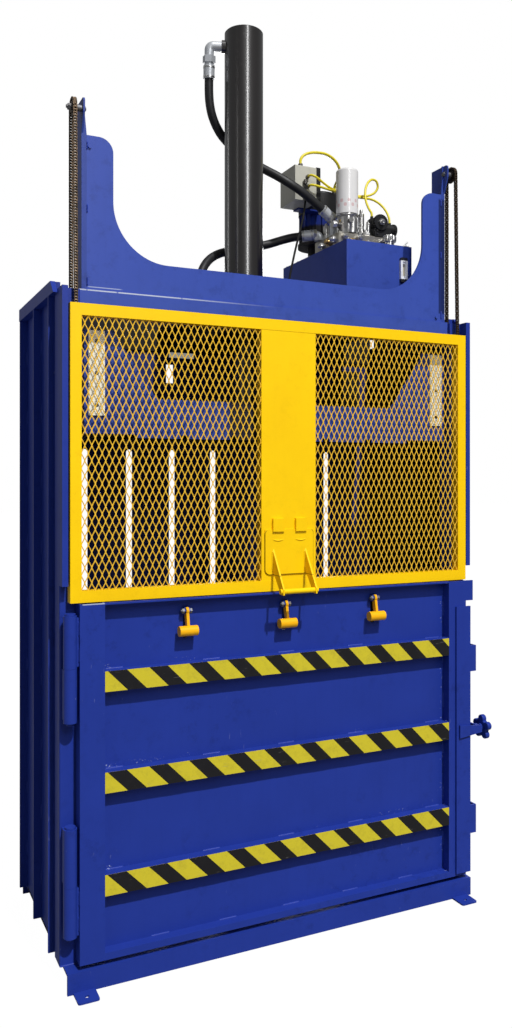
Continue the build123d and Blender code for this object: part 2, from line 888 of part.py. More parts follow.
mesh_bottom = gate_bottom + gate_tube + panel_recess
mesh_top = gate_top - gate_tube - 2 * panel_recess
mesh_outer = gate_half_width - gate_tube
front_strand_foot = gate_top - chain_end_drop
chain_end_z = front_strand_foot + chain_end_margin


def gate_rail(z0, z1):
    tube = block(-mesh_outer, mesh_outer, gate_front, gate_rear, z0, z1)
    end = mesh_outer + gate_tube_wall + 1
    room = block(-end, end, gate_front + gate_tube_wall, gate_rear - gate_tube_wall,
                 z0 + gate_tube_wall, z1 - gate_tube_wall)
    return tube, room


def gate_frame():
    # Square tubes. The stiles are open at the top, where the chains are pinned inside them.
    section = Rectangle(gate_tube, gate_tube) - Rectangle(
        gate_tube - 2 * gate_tube_wall, gate_tube - 2 * gate_tube_wall)
    middle_y = (gate_front + gate_rear) / 2
    stile = top_profile(Pos(gate_half_width - gate_tube / 2, middle_y) * section,
                        gate_bottom, gate_top)
    mullion = block(panel_half_width - gate_tube, panel_half_width, mullion_front, gate_rear,
                    mesh_bottom, mesh_top)
    pin = rod_x(chain_end_pin, mesh_outer + 1, gate_half_width - 1, chain_lug_y, chain_end_z)
    top_rail, top_room = gate_rail(mesh_top, gate_top)
    bottom_rail, bottom_room = gate_rail(gate_bottom, mesh_bottom)
    frame = grown(top_rail, [bottom_rail] + both_sides(stile))
    frame = cut(frame, [top_room, bottom_room])
    return grown(frame, both_sides(mullion) + both_sides(pin))


def gate_mesh():
    # Expanded metal: rows of upright diamonds, every other row shifted by half a diamond.
    width = mesh_outer - panel_half_width
    height = mesh_top - mesh_bottom
    step_x = width / mesh_columns
    step_z = height / mesh_rows
    slant = mesh_strand / 2 * sqrt(1 / step_x ** 2 + 1 / step_z ** 2)
    half_x = step_x / 2 * (1 - 2 * slant)
    half_z = step_z / 2 * (1 - 2 * slant)
    sheet = Pos(panel_half_width + width / 2, mesh_bottom + height / 2) * Rectangle(width, height)
    holes = []
    for row in range(2 * mesh_rows - 1):
        shift = 0.5 if row % 2 == 0 else 1.0
        for column in range(mesh_columns if row % 2 == 0 else mesh_columns - 1):
            x = panel_half_width + (column + shift) * step_x
            z = mesh_bottom + (row + 1) / 2 * step_z
            holes.append(outline((x - half_x, z), (x, z - half_z), (x + half_x, z), (x, z + half_z)))
    return front_profile(sheet - holes, mullion_front, mullion_front + mesh_thickness)


def gate_panel():
    return block(-panel_half_width, panel_half_width, panel_front, mullion_front,
                 mesh_bottom, mesh_top)


def gate_handle():
    # A bar between two gussets on a plate, low enough to be lifted from.
    back = panel_front
    face = back - handle_plate
    height = handle_top - handle_bottom
    plate = Pos(0, (handle_top + handle_bottom) / 2) * Rectangle(2 * handle_half_width, height)
    plate = fillet(plate.vertices().group_by(Axis.Y)[0], 22)
    body = front_profile(plate, face, back)
    pad = block(pad_inner, pad_outer, back - pad_depth, back,
                handle_top - pad_lap, handle_top + pad_rise)
    gusset = side_profile(
        outline((face, handle_bottom + 92), (face, handle_bottom + 15),
                (handle_bar_y + 8, handle_bar_z - 12), (handle_bar_y - 12, handle_bar_z - 12),
                (handle_bar_y - 12, handle_bar_z + 8)),
        handle_gusset_place - gusset_thickness / 2, handle_gusset_place + gusset_thickness / 2)
    bar = rod_x(handle_bar, -handle_gusset_place - 10, handle_gusset_place + 10,
                handle_bar_y, handle_bar_z)
    return grown(body, both_sides(pad) + both_sides(gusset) + [bar])


parts["gate_frame"] = gate_frame()
parts["gate_mesh"] = Compound(both_sides(gate_mesh()))
parts["gate_panel"] = gate_panel() + gate_handle()


# Lift chains

rear_strand_foot = counterweight_top + counterweight_eye


def chain_line():
    # The chain's centre line in Y and Z, in steps of half a pitch, from the gate over the
    # sprocket to the counterweight.
    strand_top = sprocket_y - sprocket_radius
    rise = sprocket_z - front_strand_foot
    steps = int(rise / (chain_pitch / 2))
    line = []
    for i in range(steps):
        t = i / steps
        line.append((chain_lug_y + (strand_top - chain_lug_y) * t, front_strand_foot + rise * t))
    around = chain_teeth
    for i in range(around + 1):
        angle = pi - pi * i / around
        line.append((sprocket_y + sprocket_radius * cos(angle),
                     sprocket_z + sprocket_radius * sin(angle)))
    fall = sprocket_z - rear_strand_foot
    steps = int(fall / (chain_pitch / 2))
    for i in range(1, steps + 1):
        line.append((sprocket_y + sprocket_radius, sprocket_z - fall * i / steps))
    return line


def lift_chain():
    line = chain_line()
    outer = []
    inner = []
    for i, (y, z) in enumerate(line):
        y0, z0 = line[max(i - 1, 0)]
        y1, z1 = line[min(i + 1, len(line) - 1)]
        length = sqrt((y1 - y0) ** 2 + (z1 - z0) ** 2)
        half = (chain_height if i % 2 == 0 else chain_waist) / 2
        normal_y = -(z1 - z0) / length * half
        normal_z = (y1 - y0) / length * half
        outer.append((y + normal_y, z + normal_z))
        inner.append((y - normal_y, z - normal_z))
    band = side_profile(outline(*outer, *reversed(inner)),
                        chain_place - chain_width / 2, chain_place + chain_width / 2)
    tooth_room = rod_x(2 * sprocket_radius + 8, chain_place - sprocket_tooth / 2 - seat_gap,
                       chain_place + sprocket_tooth / 2 + seat_gap, sprocket_y, sprocket_z)
    end_hole = rod_x(chain_end_pin + 2 * pin_clearance, chain_place - chain_width,
                     chain_place + chain_width, chain_lug_y, chain_end_z)
    return band - tooth_room - end_hole


def sprocket():
    tip = sprocket_radius + 0.6 * roller_diameter
    wheel = Circle(tip)
    gaps = PolarLocations(sprocket_radius, chain_teeth) * Circle(roller_diameter / 2 + 0.1)
    teeth = side_profile(Pos(sprocket_y, sprocket_z) * (wheel - gaps),
                         chain_place - sprocket_tooth / 2, chain_place + sprocket_tooth / 2)
    hub = rod_x(sprocket_hub, chain_place - 6, chain_place + 6, sprocket_y, sprocket_z)
    bore = rod_x(axle_diameter + 2 * pin_clearance, chain_place - 9, chain_place + 9,
                 sprocket_y, sprocket_z)
    return teeth + hub - bore


def sprocket_axle():
    inner_face = tower_outer - tower_wall
    wheel_face = chain_place + 6 + seat_gap
    shaft = rod_x(axle_diameter, inner_face - axle_lock_nut_height - 2, wheel_face + 17,
                  sprocket_y, sprocket_z)
    collar = rod_x(22, tower_outer, chain_place - 6 - seat_gap, sprocket_y, sprocket_z)
    washer = rod_x(24, wheel_face, wheel_face + 3, sprocket_y, sprocket_z)
    nut = side_profile(Pos(sprocket_y, sprocket_z) * hexagon(axle_nut), wheel_face + 3,
                       wheel_face + 12)
    lock_nut = side_profile(Pos(sprocket_y, sprocket_z) * hexagon(axle_lock_nut),
                            inner_face - axle_lock_nut_height, inner_face)
    return grown(shaft, [collar, washer, nut, lock_nut])


def counterweight():
    y = sprocket_y + sprocket_radius
    side = post_inner + post_wall + 4
    weight = block(side, post_outer - post_wall - 4, y - 36, y + 19,
                   counterweight_bottom, counterweight_top)
    half = counterweight_eye / 2
    eye = block(chain_place - half, chain_place + half, y - half, y + half,
                counterweight_top, rear_strand_foot - seat_gap)
    return weight + eye


for hand, place in (("right", lambda s: s), ("left", other_side)):
    parts[hand + "_lift_chain"] = place(lift_chain())
    parts[hand + "_sprocket"] = place(sprocket())
    parts[hand + "_counterweight"] = place(counterweight())
parts["sprocket_axles"] = Compound(both_sides(sprocket_axle()))


# Door

stile_inner_left = door_left + stile_width
stile_inner_right = door_right - stile_width


def dog_ears(x):
    ear = outline((skin_front, dog_pivot_z - 15), (dog_pivot_y, dog_pivot_z - 13),
                  (dog_pivot_y - 12, dog_pivot_z), (dog_pivot_y, dog_pivot_z + 13),
                  (skin_front, dog_pivot_z + 15))
    ear = ear - Pos(dog_pivot_y, dog_pivot_z) * Circle(dog_bolt / 2 + pin_clearance)
    inner = dog_arm / 2 + running_gap / 2
    return [side_profile(ear, x + inner, x + inner + 4), side_profile(ear, x - inner - 4, x - inner)]


def door():
    section = Rectangle(stile_width, stile_depth) - Rectangle(
        stile_width - 2 * stile_wall, stile_depth - 2 * stile_wall)
    middle_y = (door_front + door_rear) / 2
    left = top_profile(Pos(door_left + stile_width / 2, middle_y) * section, door_bottom, door_top)
    right = top_profile(Pos(door_right - stile_width / 2, middle_y) * section, door_bottom, door_top)
    skin = block(stile_inner_left, stile_inner_right, skin_front, skin_front + skin_thickness,
                 door_bottom, door_top)
    for x in dog_places:
        skin = skin - block(x - dog_slot_width / 2, x + dog_slot_width / 2, skin_front - 1,
                            skin_front + skin_thickness + 1, dog_slot_bottom, dog_slot_top)
    top_plate = block(stile_inner_left, stile_inner_right, door_front, door_rear,
                      door_top - skin_thickness, door_top)
    body = grown(left, [right, skin, top_plate])
    for low, high in door_rails + ((door_bottom, door_foot_top),):
        body = body + block(stile_inner_left, stile_inner_right, door_front, skin_front, low, high)
    for x in dog_places:
        body = grown(body, dog_ears(x))
    body = body + block(door_right, door_right + corner_plate_reach, door_front,
                        door_front + latch_thickness, door_top - corner_plate_height, door_top)
    return grown(body, knuckles(True))


def hazard_tape():
    strips = []
    for low, high in door_rails:
        strips.append(block(stile_inner_left, stile_inner_right, door_front - tape_thickness,
                            door_front, low, high))
    return Compound(strips)


def hazard_stripes():
    # Slanting stripes that lean to the left going up, cut off at the tape's ends.
    stripes = []
    for low, high in door_rails:
        height = high - low
        strip = outline((stile_inner_left, low), (stile_inner_right, low),
                        (stile_inner_right, high), (stile_inner_left, high))
        start = stile_inner_left + tape_period - tape_black
        count = int((stile_inner_right - stile_inner_left) / tape_period) + 2
        for i in range(count):
            x = start + i * tape_period
            stripe = outline((x, low), (x + tape_black, low), (x + tape_black - height, high),
                             (x - height, high)) & strip
            if stripe.faces() and stripe.area > 20:
                stripes.append(front_profile(stripe, door_front - 2 * tape_thickness,
                                             door_front - tape_thickness))
    return Compound(stripes)


def hinge_pins():
    pins = []
    for low, split, high in hinge_spans:
        pin = rod_z(hinge_pin, hinge_x, hinge_y, low - 10, high + seat_gap)
        head = rod_z(hinge_outside - 10, hinge_x, hinge_y, high + seat_gap, high + 7)
        pins.append(pin + head)
    return Compound(pins)


parts["door"] = door()
parts["hazard_tape"] = hazard_tape()
parts["hazard_stripes"] = hazard_stripes()
parts["hinge_pins"] = hinge_pins()


# Latch

latch_front = door_front - latch_thickness
screw_tip = post_outer + latch_thickness + 1
boss_left = screw_tip + 4
boss_right = boss_left + 20


def latch_bar():
    bar = block(latch_left, latch_right, latch_front, door_front, latch_bottom, latch_top)
    hook_inner = post_outer + running_gap
    for low, high in hook_spans:
        lug = block(latch_right, hook_inner + hook_wall, latch_front, door_front, low, high)
        cheek = block(hook_inner, hook_inner + hook_wall, door_front, door_front + hook_depth,
                      low, high)
        body = lug + cheek
        bar = bar + body
    arm = outline((latch_left + 12, latch_arm_z - 26), (boss_right, latch_arm_z - 13),
                  (boss_right, latch_arm_z + 13), (latch_left + 12, latch_arm_z + 26))
    bar = bar + front_profile(arm, latch_front - latch_thickness, latch_front)
    boss = block(boss_left, boss_right, latch_front - latch_thickness, knob_screw_y + 13,
                 latch_arm_z - 13, latch_arm_z + 13)
    hole = rod_x(knob_screw + 2 * pin_clearance, boss_left - 1, boss_right + 1,
                 knob_screw_y, latch_arm_z)
    return bar + boss - hole


def latch_knob():
    # A hand knob: a round hub with five lobes, on the screw that passes through the boss.
    lobe = knob_diameter * 0.16
    star = Circle(knob_diameter * 0.32)
    star = star + PolarLocations(knob_diameter / 2 - lobe, knob_lobes, start_angle=90) * Circle(lobe)
    start = knob_face - knob_thickness
    knob = side_profile(Pos(knob_screw_y, latch_arm_z) * star, start, knob_face)
    rims = knob.edges().filter_by(lambda e: e.bounding_box().size.X < 0.01)
    knob = fillet(rims, 4)
    hub = rod_x(30, boss_right + 4, start, knob_screw_y, latch_arm_z)
    screw = rod_x(knob_screw, screw_tip, start, knob_screw_y, latch_arm_z)
    return knob + hub + screw


parts["latch_bar"] = latch_bar()
parts["latch_knob"] = latch_knob()


# Retainer dogs

def retainer_dog(x):
    # A weighted pawl: its tooth stands through the door, and its weight holds it out.
    stem = outline((dog_pivot_y - 8, dog_pivot_z + 8), (dog_tooth_y - 14, dog_pivot_z + 8),
                   (dog_tooth_y, dog_pivot_z - 4), (dog_tooth_y - 10, dog_pivot_z - 12),
                   (dog_pivot_y + 9, dog_pivot_z - 14), (dog_weight_y + 11, dog_weight_z),
                   (dog_weight_y - 8, dog_weight_z))
    eye = Pos(dog_pivot_y, dog_pivot_z) * Circle(13)
    flat = stem + eye - Pos(dog_pivot_y, dog_pivot_z) * Circle(dog_bolt / 2 + pin_clearance)
    arm = side_profile(flat, x - dog_arm / 2, x + dog_arm / 2)
    weight = rod_x(dog_weight_diameter, x - dog_weight_length / 2, x + dog_weight_length / 2,
                   dog_weight_y, dog_weight_z)
    return arm + weight


def dog_bolt_set(x):
    ear_outer_face = dog_arm / 2 + running_gap / 2 + 4
    shank = rod_x(dog_bolt, x - ear_outer_face - 12, x + ear_outer_face + 8,
                  dog_pivot_y, dog_pivot_z)
    head = Pos(dog_pivot_y, dog_pivot_z) * hexagon(17)
    left_nut = side_profile(head, x - ear_outer_face - 9, x - ear_outer_face)
    right_head = side_profile(head, x + ear_outer_face, x + ear_outer_face + 8)
    return shank + left_nut + right_head


for dog_name, dog_x in zip(("left", "centre", "right"), dog_places):
    parts[dog_name + "_retainer_dog"] = retainer_dog(dog_x)
parts["dog_bolts"] = Compound([dog_bolt_set(x) for x in dog_places])


# Oil tank and pump

def oil_tank():
    body = block(tank_left, tank_right, tank_front, tank_rear, tank_bottom, lid_bottom)
    body = fillet(body.edges().filter_by(Axis.Z), tank_round)
    hollow = block(tank_left + tank_wall, tank_right - tank_wall, tank_front + tank_wall,
                   tank_rear - tank_wall, tank_bottom + tank_wall, lid_bottom + 1)
    return body - hollow


def tank_lid():
    lid = block(tank_left, tank_right, tank_front, tank_rear, lid_bottom, tank_top)
    return fillet(lid.edges().filter_by(Axis.Z), tank_round)


def pump():
    body = rod_z(pump_diameter, motor_x, motor_y, lid_bottom - pump_length, lid_bottom)
    strainer = rod_z(pump_diameter * 0.6, motor_x, motor_y, tank_bottom + 3 * tank_wall,
                     lid_bottom - pump_length)
    return body + strainer


def level_gauge():
    x1 = gauge_left + gauge_width
    z1 = gauge_bottom + gauge_height
    rim = gauge_width / 4
    body = block(gauge_left, x1, tank_front - gauge_depth, tank_front, gauge_bottom, z1)
    body = fillet(body.edges().filter_by(Axis.Y), rim / 2)
    window = block(gauge_left + rim, x1 - rim, tank_front - gauge_depth - 1,
                   tank_front - gauge_depth / 2, gauge_bottom + 2 * rim, z1 - 2 * rim)
    return body - window


parts["oil_tank"] = oil_tank()
parts["tank_lid"] = tank_lid()
parts["pump"] = pump()
parts["level_gauge"] = level_gauge()


# Motor

def motor():
    body_bottom = adapter_top + motor_flange_thickness
    adapter = rod_z(adapter_diameter, motor_x, motor_y, tank_top, adapter_top)
    flange = rod_z(motor_diameter + 10, motor_x, motor_y, adapter_top, body_bottom)
    core = Circle(motor_diameter / 2 - motor_fin_height)
    fin = Pos(motor_diameter / 2 - motor_fin_height, 0) * Rectangle(2 * motor_fin_height, motor_fin)
    section = core + PolarLocations(0, motor_fins) * fin
    body = top_profile(Pos(motor_x, motor_y) * section, body_bottom, fan_cover_bottom)
    shelf = block(box_left + box_width - shelf_width, motor_x - motor_diameter / 4,
                  box_front + box_depth - shelf_depth, box_front + box_depth,
                  box_bottom - lid_thickness, box_bottom)
    return adapter + flange + body + shelf


def fan_cover():
    cover = rod_z(motor_diameter + 4, motor_x, motor_y, fan_cover_bottom, fan_cover_top)
    return fillet(cover.edges().group_by(Axis.Z)[-1], 12)


def junction_box():
    box = block(box_left, box_left + box_width, box_front, box_front + box_depth,
                box_bottom, box_bottom + box_height)
    return fillet(box.edges().filter_by(Axis.X), 4)


def junction_box_cover():
    x0 = box_left + box_width
    plate = block(x0, x0 + box_plate, box_front - 2, box_front + box_depth + 2,
                  box_bottom, box_bottom + box_height + 2)
    return fillet(plate.edges().filter_by(Axis.X), 4)


parts["motor"] = motor()
parts["motor_fan_cover"] = fan_cover()
parts["junction_box"] = junction_box()
parts["junction_box_cover"] = junction_box_cover()


# Valves and filter

def valve_manifold():
    body = block(manifold_left, manifold_right, manifold_front, manifold_rear,
                 tank_top, manifold_top)
    return chamfer(body.edges().group_by(Axis.Z)[-1], 4)


def solenoid_valve():
    # The valve body, its upright coil facing the front and its coil on the right-hand end.
    front = valve_y - valve_depth / 2
    body = block(valve_left, valve_right, front, valve_y + valve_depth / 2,
                 manifold_top, valve_top)
    coil = front_profile(Pos(coil_x, coil_z) * Circle(coil_diameter / 2),
                         front, front + coil_length)
    side_coil = rod_x(side_coil_diameter, side_coil_left, side_coil_right, valve_y, side_coil_z)
    body = grown(body, [coil, side_coil])
    for route, level in ((upper_solenoid_route, coil_z), (lower_solenoid_route, side_coil_z)):
        x, y, z = route[-1]
        body = body + rod_z(solenoid_cable_diameter + 4, x, y, level, z)
    return body


def filter_head():
    # The head stands on the manifold and carries the screwed-on canister.
    bottom = filter_bottom - filter_head_height
    head = top_profile(Pos(filter_x, filter_y) * hexagon(filter_head_flats), bottom, filter_bottom)
    foot = rod_z(filter_head_flats * 0.7, filter_x, filter_y, manifold_top, bottom)
    return head + foot


def filter_canister():
    can = rod_z(filter_diameter, filter_x, filter_y, filter_bottom, filter_top)
    return fillet(can.edges().group_by(Axis.Z)[-1], 10)


def breather_cap():
    neck = rod_z(breather_neck, breather_x, breather_y, tank_top, breather_neck_top)
    cap = rod_z(breather_diameter, breather_x, breather_y, breather_neck_top, breather_top)
    return neck + fillet(cap.edges().group_by(Axis.Z)[-1], 5)


parts["valve_manifold"] = valve_manifold()
parts["solenoid_valve"] = solenoid_valve()
parts["filter_head"] = filter_head()
parts["filter_canister"] = filter_canister()
parts["breather_cap"] = breather_cap()


# Hoses and their ends

def elbow(points, diameter):
    path = FilletPolyline(*points, radius=diameter * 0.4)
    return sweep(Plane(origin=path @ 0, z_dir=path % 0) * Circle(diameter / 2), path=path)


def hose_ferrules():
    sleeves = []
    for route in (upper_hose_route, lower_hose_route):
        for at_end in (False, True):
            end, heading = ferrule_end(route, at_end)
            sleeve = Plane(origin=end, z_dir=-heading) * Circle(ferrule_diameter / 2)
            sleeves.append(extrude(sleeve, amount=ferrule_length))
    return sleeves


def port_fittings():
    fittings = []
    for route, corner in ((upper_hose_route, upper_corner), (lower_hose_route, lower_corner)):
        start = Vector(0, cylinder_y, corner.Z) + port_heading(corner) * (barrel_outside / 2 + port_boss)
        end, heading = ferrule_end(route, False)
        bend = elbow((start, corner, end), port_diameter)
        nut_foot = end + heading * port_neck_length
        nut = extrude(Plane(origin=nut_foot, z_dir=heading) * hexagon(port_nut),
                      amount=port_nut_length)
        fittings.append(bend + nut)
    return Compound(fittings)


def manifold_fittings():
    # Bends that take both hoses down into the manifold.
    fittings = []
    for route, run in ((upper_hose_route, 14), (lower_hose_route, 26)):
        end, heading = ferrule_end(route, True)
        corner = end + heading * run
        nut_top = manifold_top + port_neck_length
        bend = elbow((end, corner, Vector(corner.X, corner.Y, nut_top)), port_neck)
        nut = top_profile(Pos(corner.X, corner.Y) * hexagon(port_nut), manifold_top, nut_top)
        fittings.append(bend + nut)
    return fittings


parts["upper_hose"] = routed_tube("upper hose", upper_hose_route, hose_diameter)
parts["lower_hose"] = routed_tube("lower hose", lower_hose_route, hose_diameter)
parts["hose_fittings"] = Compound(hose_ferrules() + manifold_fittings())
parts["port_fittings"] = port_fittings()


# Cables

def cable_glands():
    rear = box_front
    start = motor_cable_route[0]
    glands = [rod_z(20, start[0], start[1], box_bottom + box_height, start[2])]
    for route in (upper_solenoid_route, lower_solenoid_route):
        x, y, z = route[0]
        glands.append(front_profile(Pos(x, z) * Circle(8), y, rear))
    x, y, z = control_cable_route[0]
    stub = front_profile(Pos(x, z + 10) * Circle(8), y, rear)
    glands.append(stub + rod_z(15, x, y, z, z + 18))
    x, y, z = control_cable_route[-1]
    glands.append(rod_z(18, x, y, barrel_foot, z))
    x, y, z = motor_cable_route[-1]
    glands.append(rod_z(20, x, y, fan_cover_top, z))
    return Compound(glands)


parts["cable_glands"] = cable_glands()
parts["motor_cable"] = routed_tube("motor cable", motor_cable_route, motor_cable_diameter)
parts["solenoid_cables"] = Compound([
    routed_tube("upper solenoid cable", upper_solenoid_route, solenoid_cable_diameter),
    routed_tube("lower solenoid cable", lower_solenoid_route, solenoid_cable_diameter)])
parts["control_cable"] = routed_tube("control cable", control_cable_route,
                                     control_cable_diameter)


os.makedirs("parts", exist_ok=True)
for name, shape in parts.items():
    export_step(shape, "parts/" + name + ".step")
print(len(parts), "pieces")
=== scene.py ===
import json
import math
from functools import cache, cached_property, reduce

import bmesh
import bpy
import numpy as np
from bpy.props import FloatProperty, FloatVectorProperty, IntProperty, PointerProperty
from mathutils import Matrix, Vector


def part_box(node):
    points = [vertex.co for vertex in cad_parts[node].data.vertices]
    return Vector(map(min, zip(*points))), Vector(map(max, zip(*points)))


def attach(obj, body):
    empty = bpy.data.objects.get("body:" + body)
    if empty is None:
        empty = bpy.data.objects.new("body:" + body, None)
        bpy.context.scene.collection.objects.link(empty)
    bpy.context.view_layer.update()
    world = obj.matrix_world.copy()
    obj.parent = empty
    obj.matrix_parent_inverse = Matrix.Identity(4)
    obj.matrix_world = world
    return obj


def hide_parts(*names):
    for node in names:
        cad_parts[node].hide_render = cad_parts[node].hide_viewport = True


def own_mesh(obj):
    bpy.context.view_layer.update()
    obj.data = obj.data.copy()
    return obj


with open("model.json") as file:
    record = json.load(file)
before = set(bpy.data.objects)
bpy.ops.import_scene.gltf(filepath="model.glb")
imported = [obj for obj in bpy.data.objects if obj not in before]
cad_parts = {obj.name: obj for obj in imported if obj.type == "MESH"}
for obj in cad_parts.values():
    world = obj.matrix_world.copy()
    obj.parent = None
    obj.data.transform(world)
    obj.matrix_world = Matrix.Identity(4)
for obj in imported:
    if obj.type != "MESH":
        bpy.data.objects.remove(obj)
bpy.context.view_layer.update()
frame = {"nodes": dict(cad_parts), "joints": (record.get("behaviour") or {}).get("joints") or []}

bl_info = {
    "name": "Recycling baler finish",
    "version": (1, 0, 0),
    "blender": (4, 5, 0),
    "location": "View3D > Sidebar > Baler",
    "description": "Dresses the packed baler: paint, expanded metal, roller chains, welds and "
                   "hydraulic fittings",
    "category": "Object",
}

NODES = frame["nodes"]
TURN = 2 * math.pi


def corners(node):
    """Lowest and highest corner of a CAD node, as arrays in metres."""
    low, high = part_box(node)
    return np.array(low), np.array(high)


def middle(node):
    """Middle of a CAD node's box, in metres."""
    low, high = corners(node)
    return (low + high) / 2


# Sizes and colours


def colour(name, words, value):
    return FloatVectorProperty(name=name, description=words, subtype="COLOR", size=3,
                               min=0, max=1, default=value)


def length(name, words, value):
    return FloatProperty(name=name, description=words, subtype="DISTANCE", unit="LENGTH",
                         min=0, default=value)


def turning(name, words, degrees):
    return FloatProperty(name=name, description=words, subtype="ANGLE", unit="ROTATION",
                         default=math.radians(degrees))


def strength(name, words, value, unit="NONE"):
    return FloatProperty(name=name, description=words, unit=unit, min=0, default=value)


class BalerPaint(bpy.types.PropertyGroup):
    blue: colour("Blue enamel", "Paint of the frame, door and motor", (0.0145, 0.0350, 0.262))
    # A lighter copy of the blue: painted light and sheen from above, on the crosshead, the tank, the
    # towers and the platen.
    upper: colour("Upper enamel", "Fresher paint of the crosshead and the tank", (0.036, 0.070, 0.350))
    yellow: colour("Yellow enamel", "Paint of the gate", (0.98, 0.565, 0.002))
    dog: colour("Dog enamel", "Older, more orange paint of the retainer dogs", (0.83, 0.41, 0.006))
    mesh: colour("Mesh enamel", "Paint of the expanded metal", (0.86, 0.51, 0.040))
    tape_yellow: colour("Tape yellow", "Light stripes of the hazard tape", (0.56, 0.47, 0.022))
    tape_black: colour("Tape black", "Dark stripes of the hazard tape", (0.0065, 0.0060, 0.0070))
    cable: colour("Cable yellow", "Sheath of the motor and valve cables", (0.72, 0.60, 0.03))
    box: colour("Junction box", "Grey enamel of the junction box", (0.47, 0.46, 0.40))
    strip: colour("Wear strip", "Plastic of the platen's wear strips", (0.80, 0.79, 0.68))
    # Near-black steel: worn steel inside the chamber, painted darker as shade; the same colour paints
    # shade on the roof's underside, the motor's foot and the platen's back.
    chamber: colour("Chamber steel", "Worn dark steel inside the chamber", (0.010, 0.009, 0.010))
    # The primer colour also paints highlights on the header's edge and weld, the door's welds and a
    # stile's top edge.
    primer: colour("Primer", "Pale primer that shows where the enamel is rubbed", (0.42, 0.47, 0.62))


class BalerMesh(bpy.types.PropertyGroup):
    diamond_width: length("Diamond width", "Short way of the mesh, from bond to bond", 0.0236)
    diamond_height: length("Diamond height", "Long way of the mesh, from bond to bond", 0.0510)
    strand_width: length("Strand width", "Width of one strand of the mesh", 0.0031)
    strand_thickness: length("Strand thickness", "Thickness of one strand", 0.0020)
    strand_tilt: turning("Strand tilt", "Turn of the strands out of the sheet", 34)


class BalerChain(bpy.types.PropertyGroup):
    pitch: length("Pitch", "Distance between two pins", 0.009525)
    teeth: IntProperty(name="Teeth", description="Teeth of the sprockets", min=9, default=19)
    plate_height: length("Plate height", "Height of a link plate at its ends", 0.0100)
    plate_waist: length("Plate waist", "Height of a link plate at its middle", 0.0082)
    plate_thickness: length("Plate thickness", "Thickness of one link plate", 0.0017)
    inner_gap: length("Inner gap", "Room between the inner plates", 0.0066)
    roller: length("Roller", "Diameter of a roller", 0.0086)
    pin: length("Pin", "Diameter of a pin", 0.0036)
    lug_y: FloatProperty(name="Gate pin", description="Place in Y of the gate's chain pin",
                         subtype="DISTANCE", unit="LENGTH", default=-0.357)
    foot_z: length("Front foot", "Height of the pin that holds the front strand", 2.2730)


class BalerWeld(bpy.types.PropertyGroup):
    leg: length("Leg", "Size of a fillet weld", 0.0046)
    ripple: length("Ripple", "Distance between two ripples of a bead", 0.0042)
    relief: FloatProperty(name="Relief", description="Depth of a ripple as a share of the leg",
                          subtype="FACTOR", min=0, max=1, default=0.14)


class BalerFittings(bpy.types.PropertyGroup):
    nut: length("Nut", "Size across flats of the hose nuts", 0.04232)
    band: length("Crimp band", "Height of a crimp band over its sleeve", 0.0011)
    screw: length("Lid screw", "Size across flats of the tank lid's screws", 0.013)


class BalerStage(bpy.types.PropertyGroup):
    place: FloatVectorProperty(name="Camera", description="Place of the camera", subtype="TRANSLATION",
                               unit="LENGTH", size=3, default=(-1.4885, -3.2499, 1.7005))
    heading: turning("Heading", "Turn of the camera from +Y towards +X", 25.24)
    lens: FloatProperty(name="Lens", description="Focal length in millimetres", min=1, default=30.646)
    shift: FloatProperty(name="Shift", description="Lens shift upwards", default=-0.0356)
    key: strength("Key light", "Strength of the high front lamp", 3.5)
    strip: strength("Strip light", "Power of the tall front strip", 82, "POWER")
    left: strength("Left light", "Power of the tall strip at the left", 6, "POWER")
    rear: strength("Rear light", "Power of the tall strip behind the left side", 12, "POWER")
    back: strength("Back light", "Power of the round lamp behind the right side", 132, "POWER")
    room: strength("Room light", "Strength of the light from all round", 0.21)


GROUPS = {
    "baler_paint": BalerPaint, "baler_mesh": BalerMesh, "baler_chain": BalerChain,
    "baler_weld": BalerWeld, "baler_fittings": BalerFittings, "baler_stage": BalerStage,
}


# Shader kit


class Signal:
    """A shader output that can stand in a sum: each operator adds one Math node."""

    def __init__(self, finish, socket):
        self.finish = finish
        self.socket = socket

    def combine(self, operation, first, second=0.0):
        return self.finish.add("ShaderNodeMath", {"operation": operation}, {0: first, 1: second})

    def __add__(self, other):
        return self.combine("ADD", self, other)

    def __sub__(self, other):
        return self.combine("SUBTRACT", self, other)

    def __rsub__(self, other):
        return self.combine("SUBTRACT", other, self)

    def __mul__(self, other):
        return self.combine("MULTIPLY", self, other)

    def __pow__(self, other):
        return self.combine("POWER", self, other)

    def __abs__(self):
        return self.combine("ABSOLUTE", self)

    __radd__ = __add__
    __rmul__ = __mul__

    def above(self, edge, softness=0.0004):
        """1 where the signal is over the edge, 0 under it, with a soft step between. The usual
        softness, 0.4 mm each way, follows a corner of the part."""
        return self.finish.add(
            "ShaderNodeMapRange", {"interpolation_type": "SMOOTHSTEP", "clamp": True},
            {"Value": self, "From Min": edge - softness, "From Max": edge + softness + 1e-5})

    def below(self, edge, softness=0.0004):
        return 1 - self.above(edge, softness)

    def near(self, place, reach, softness=0.0004):
        """1 where the signal is within the reach of a place, 0 beyond it."""
        return abs(self - place).below(reach, softness)

    def top(self, other):
        return self.combine("MAXIMUM", self, other)

    def sine(self):
        return self.combine("SINE", self)


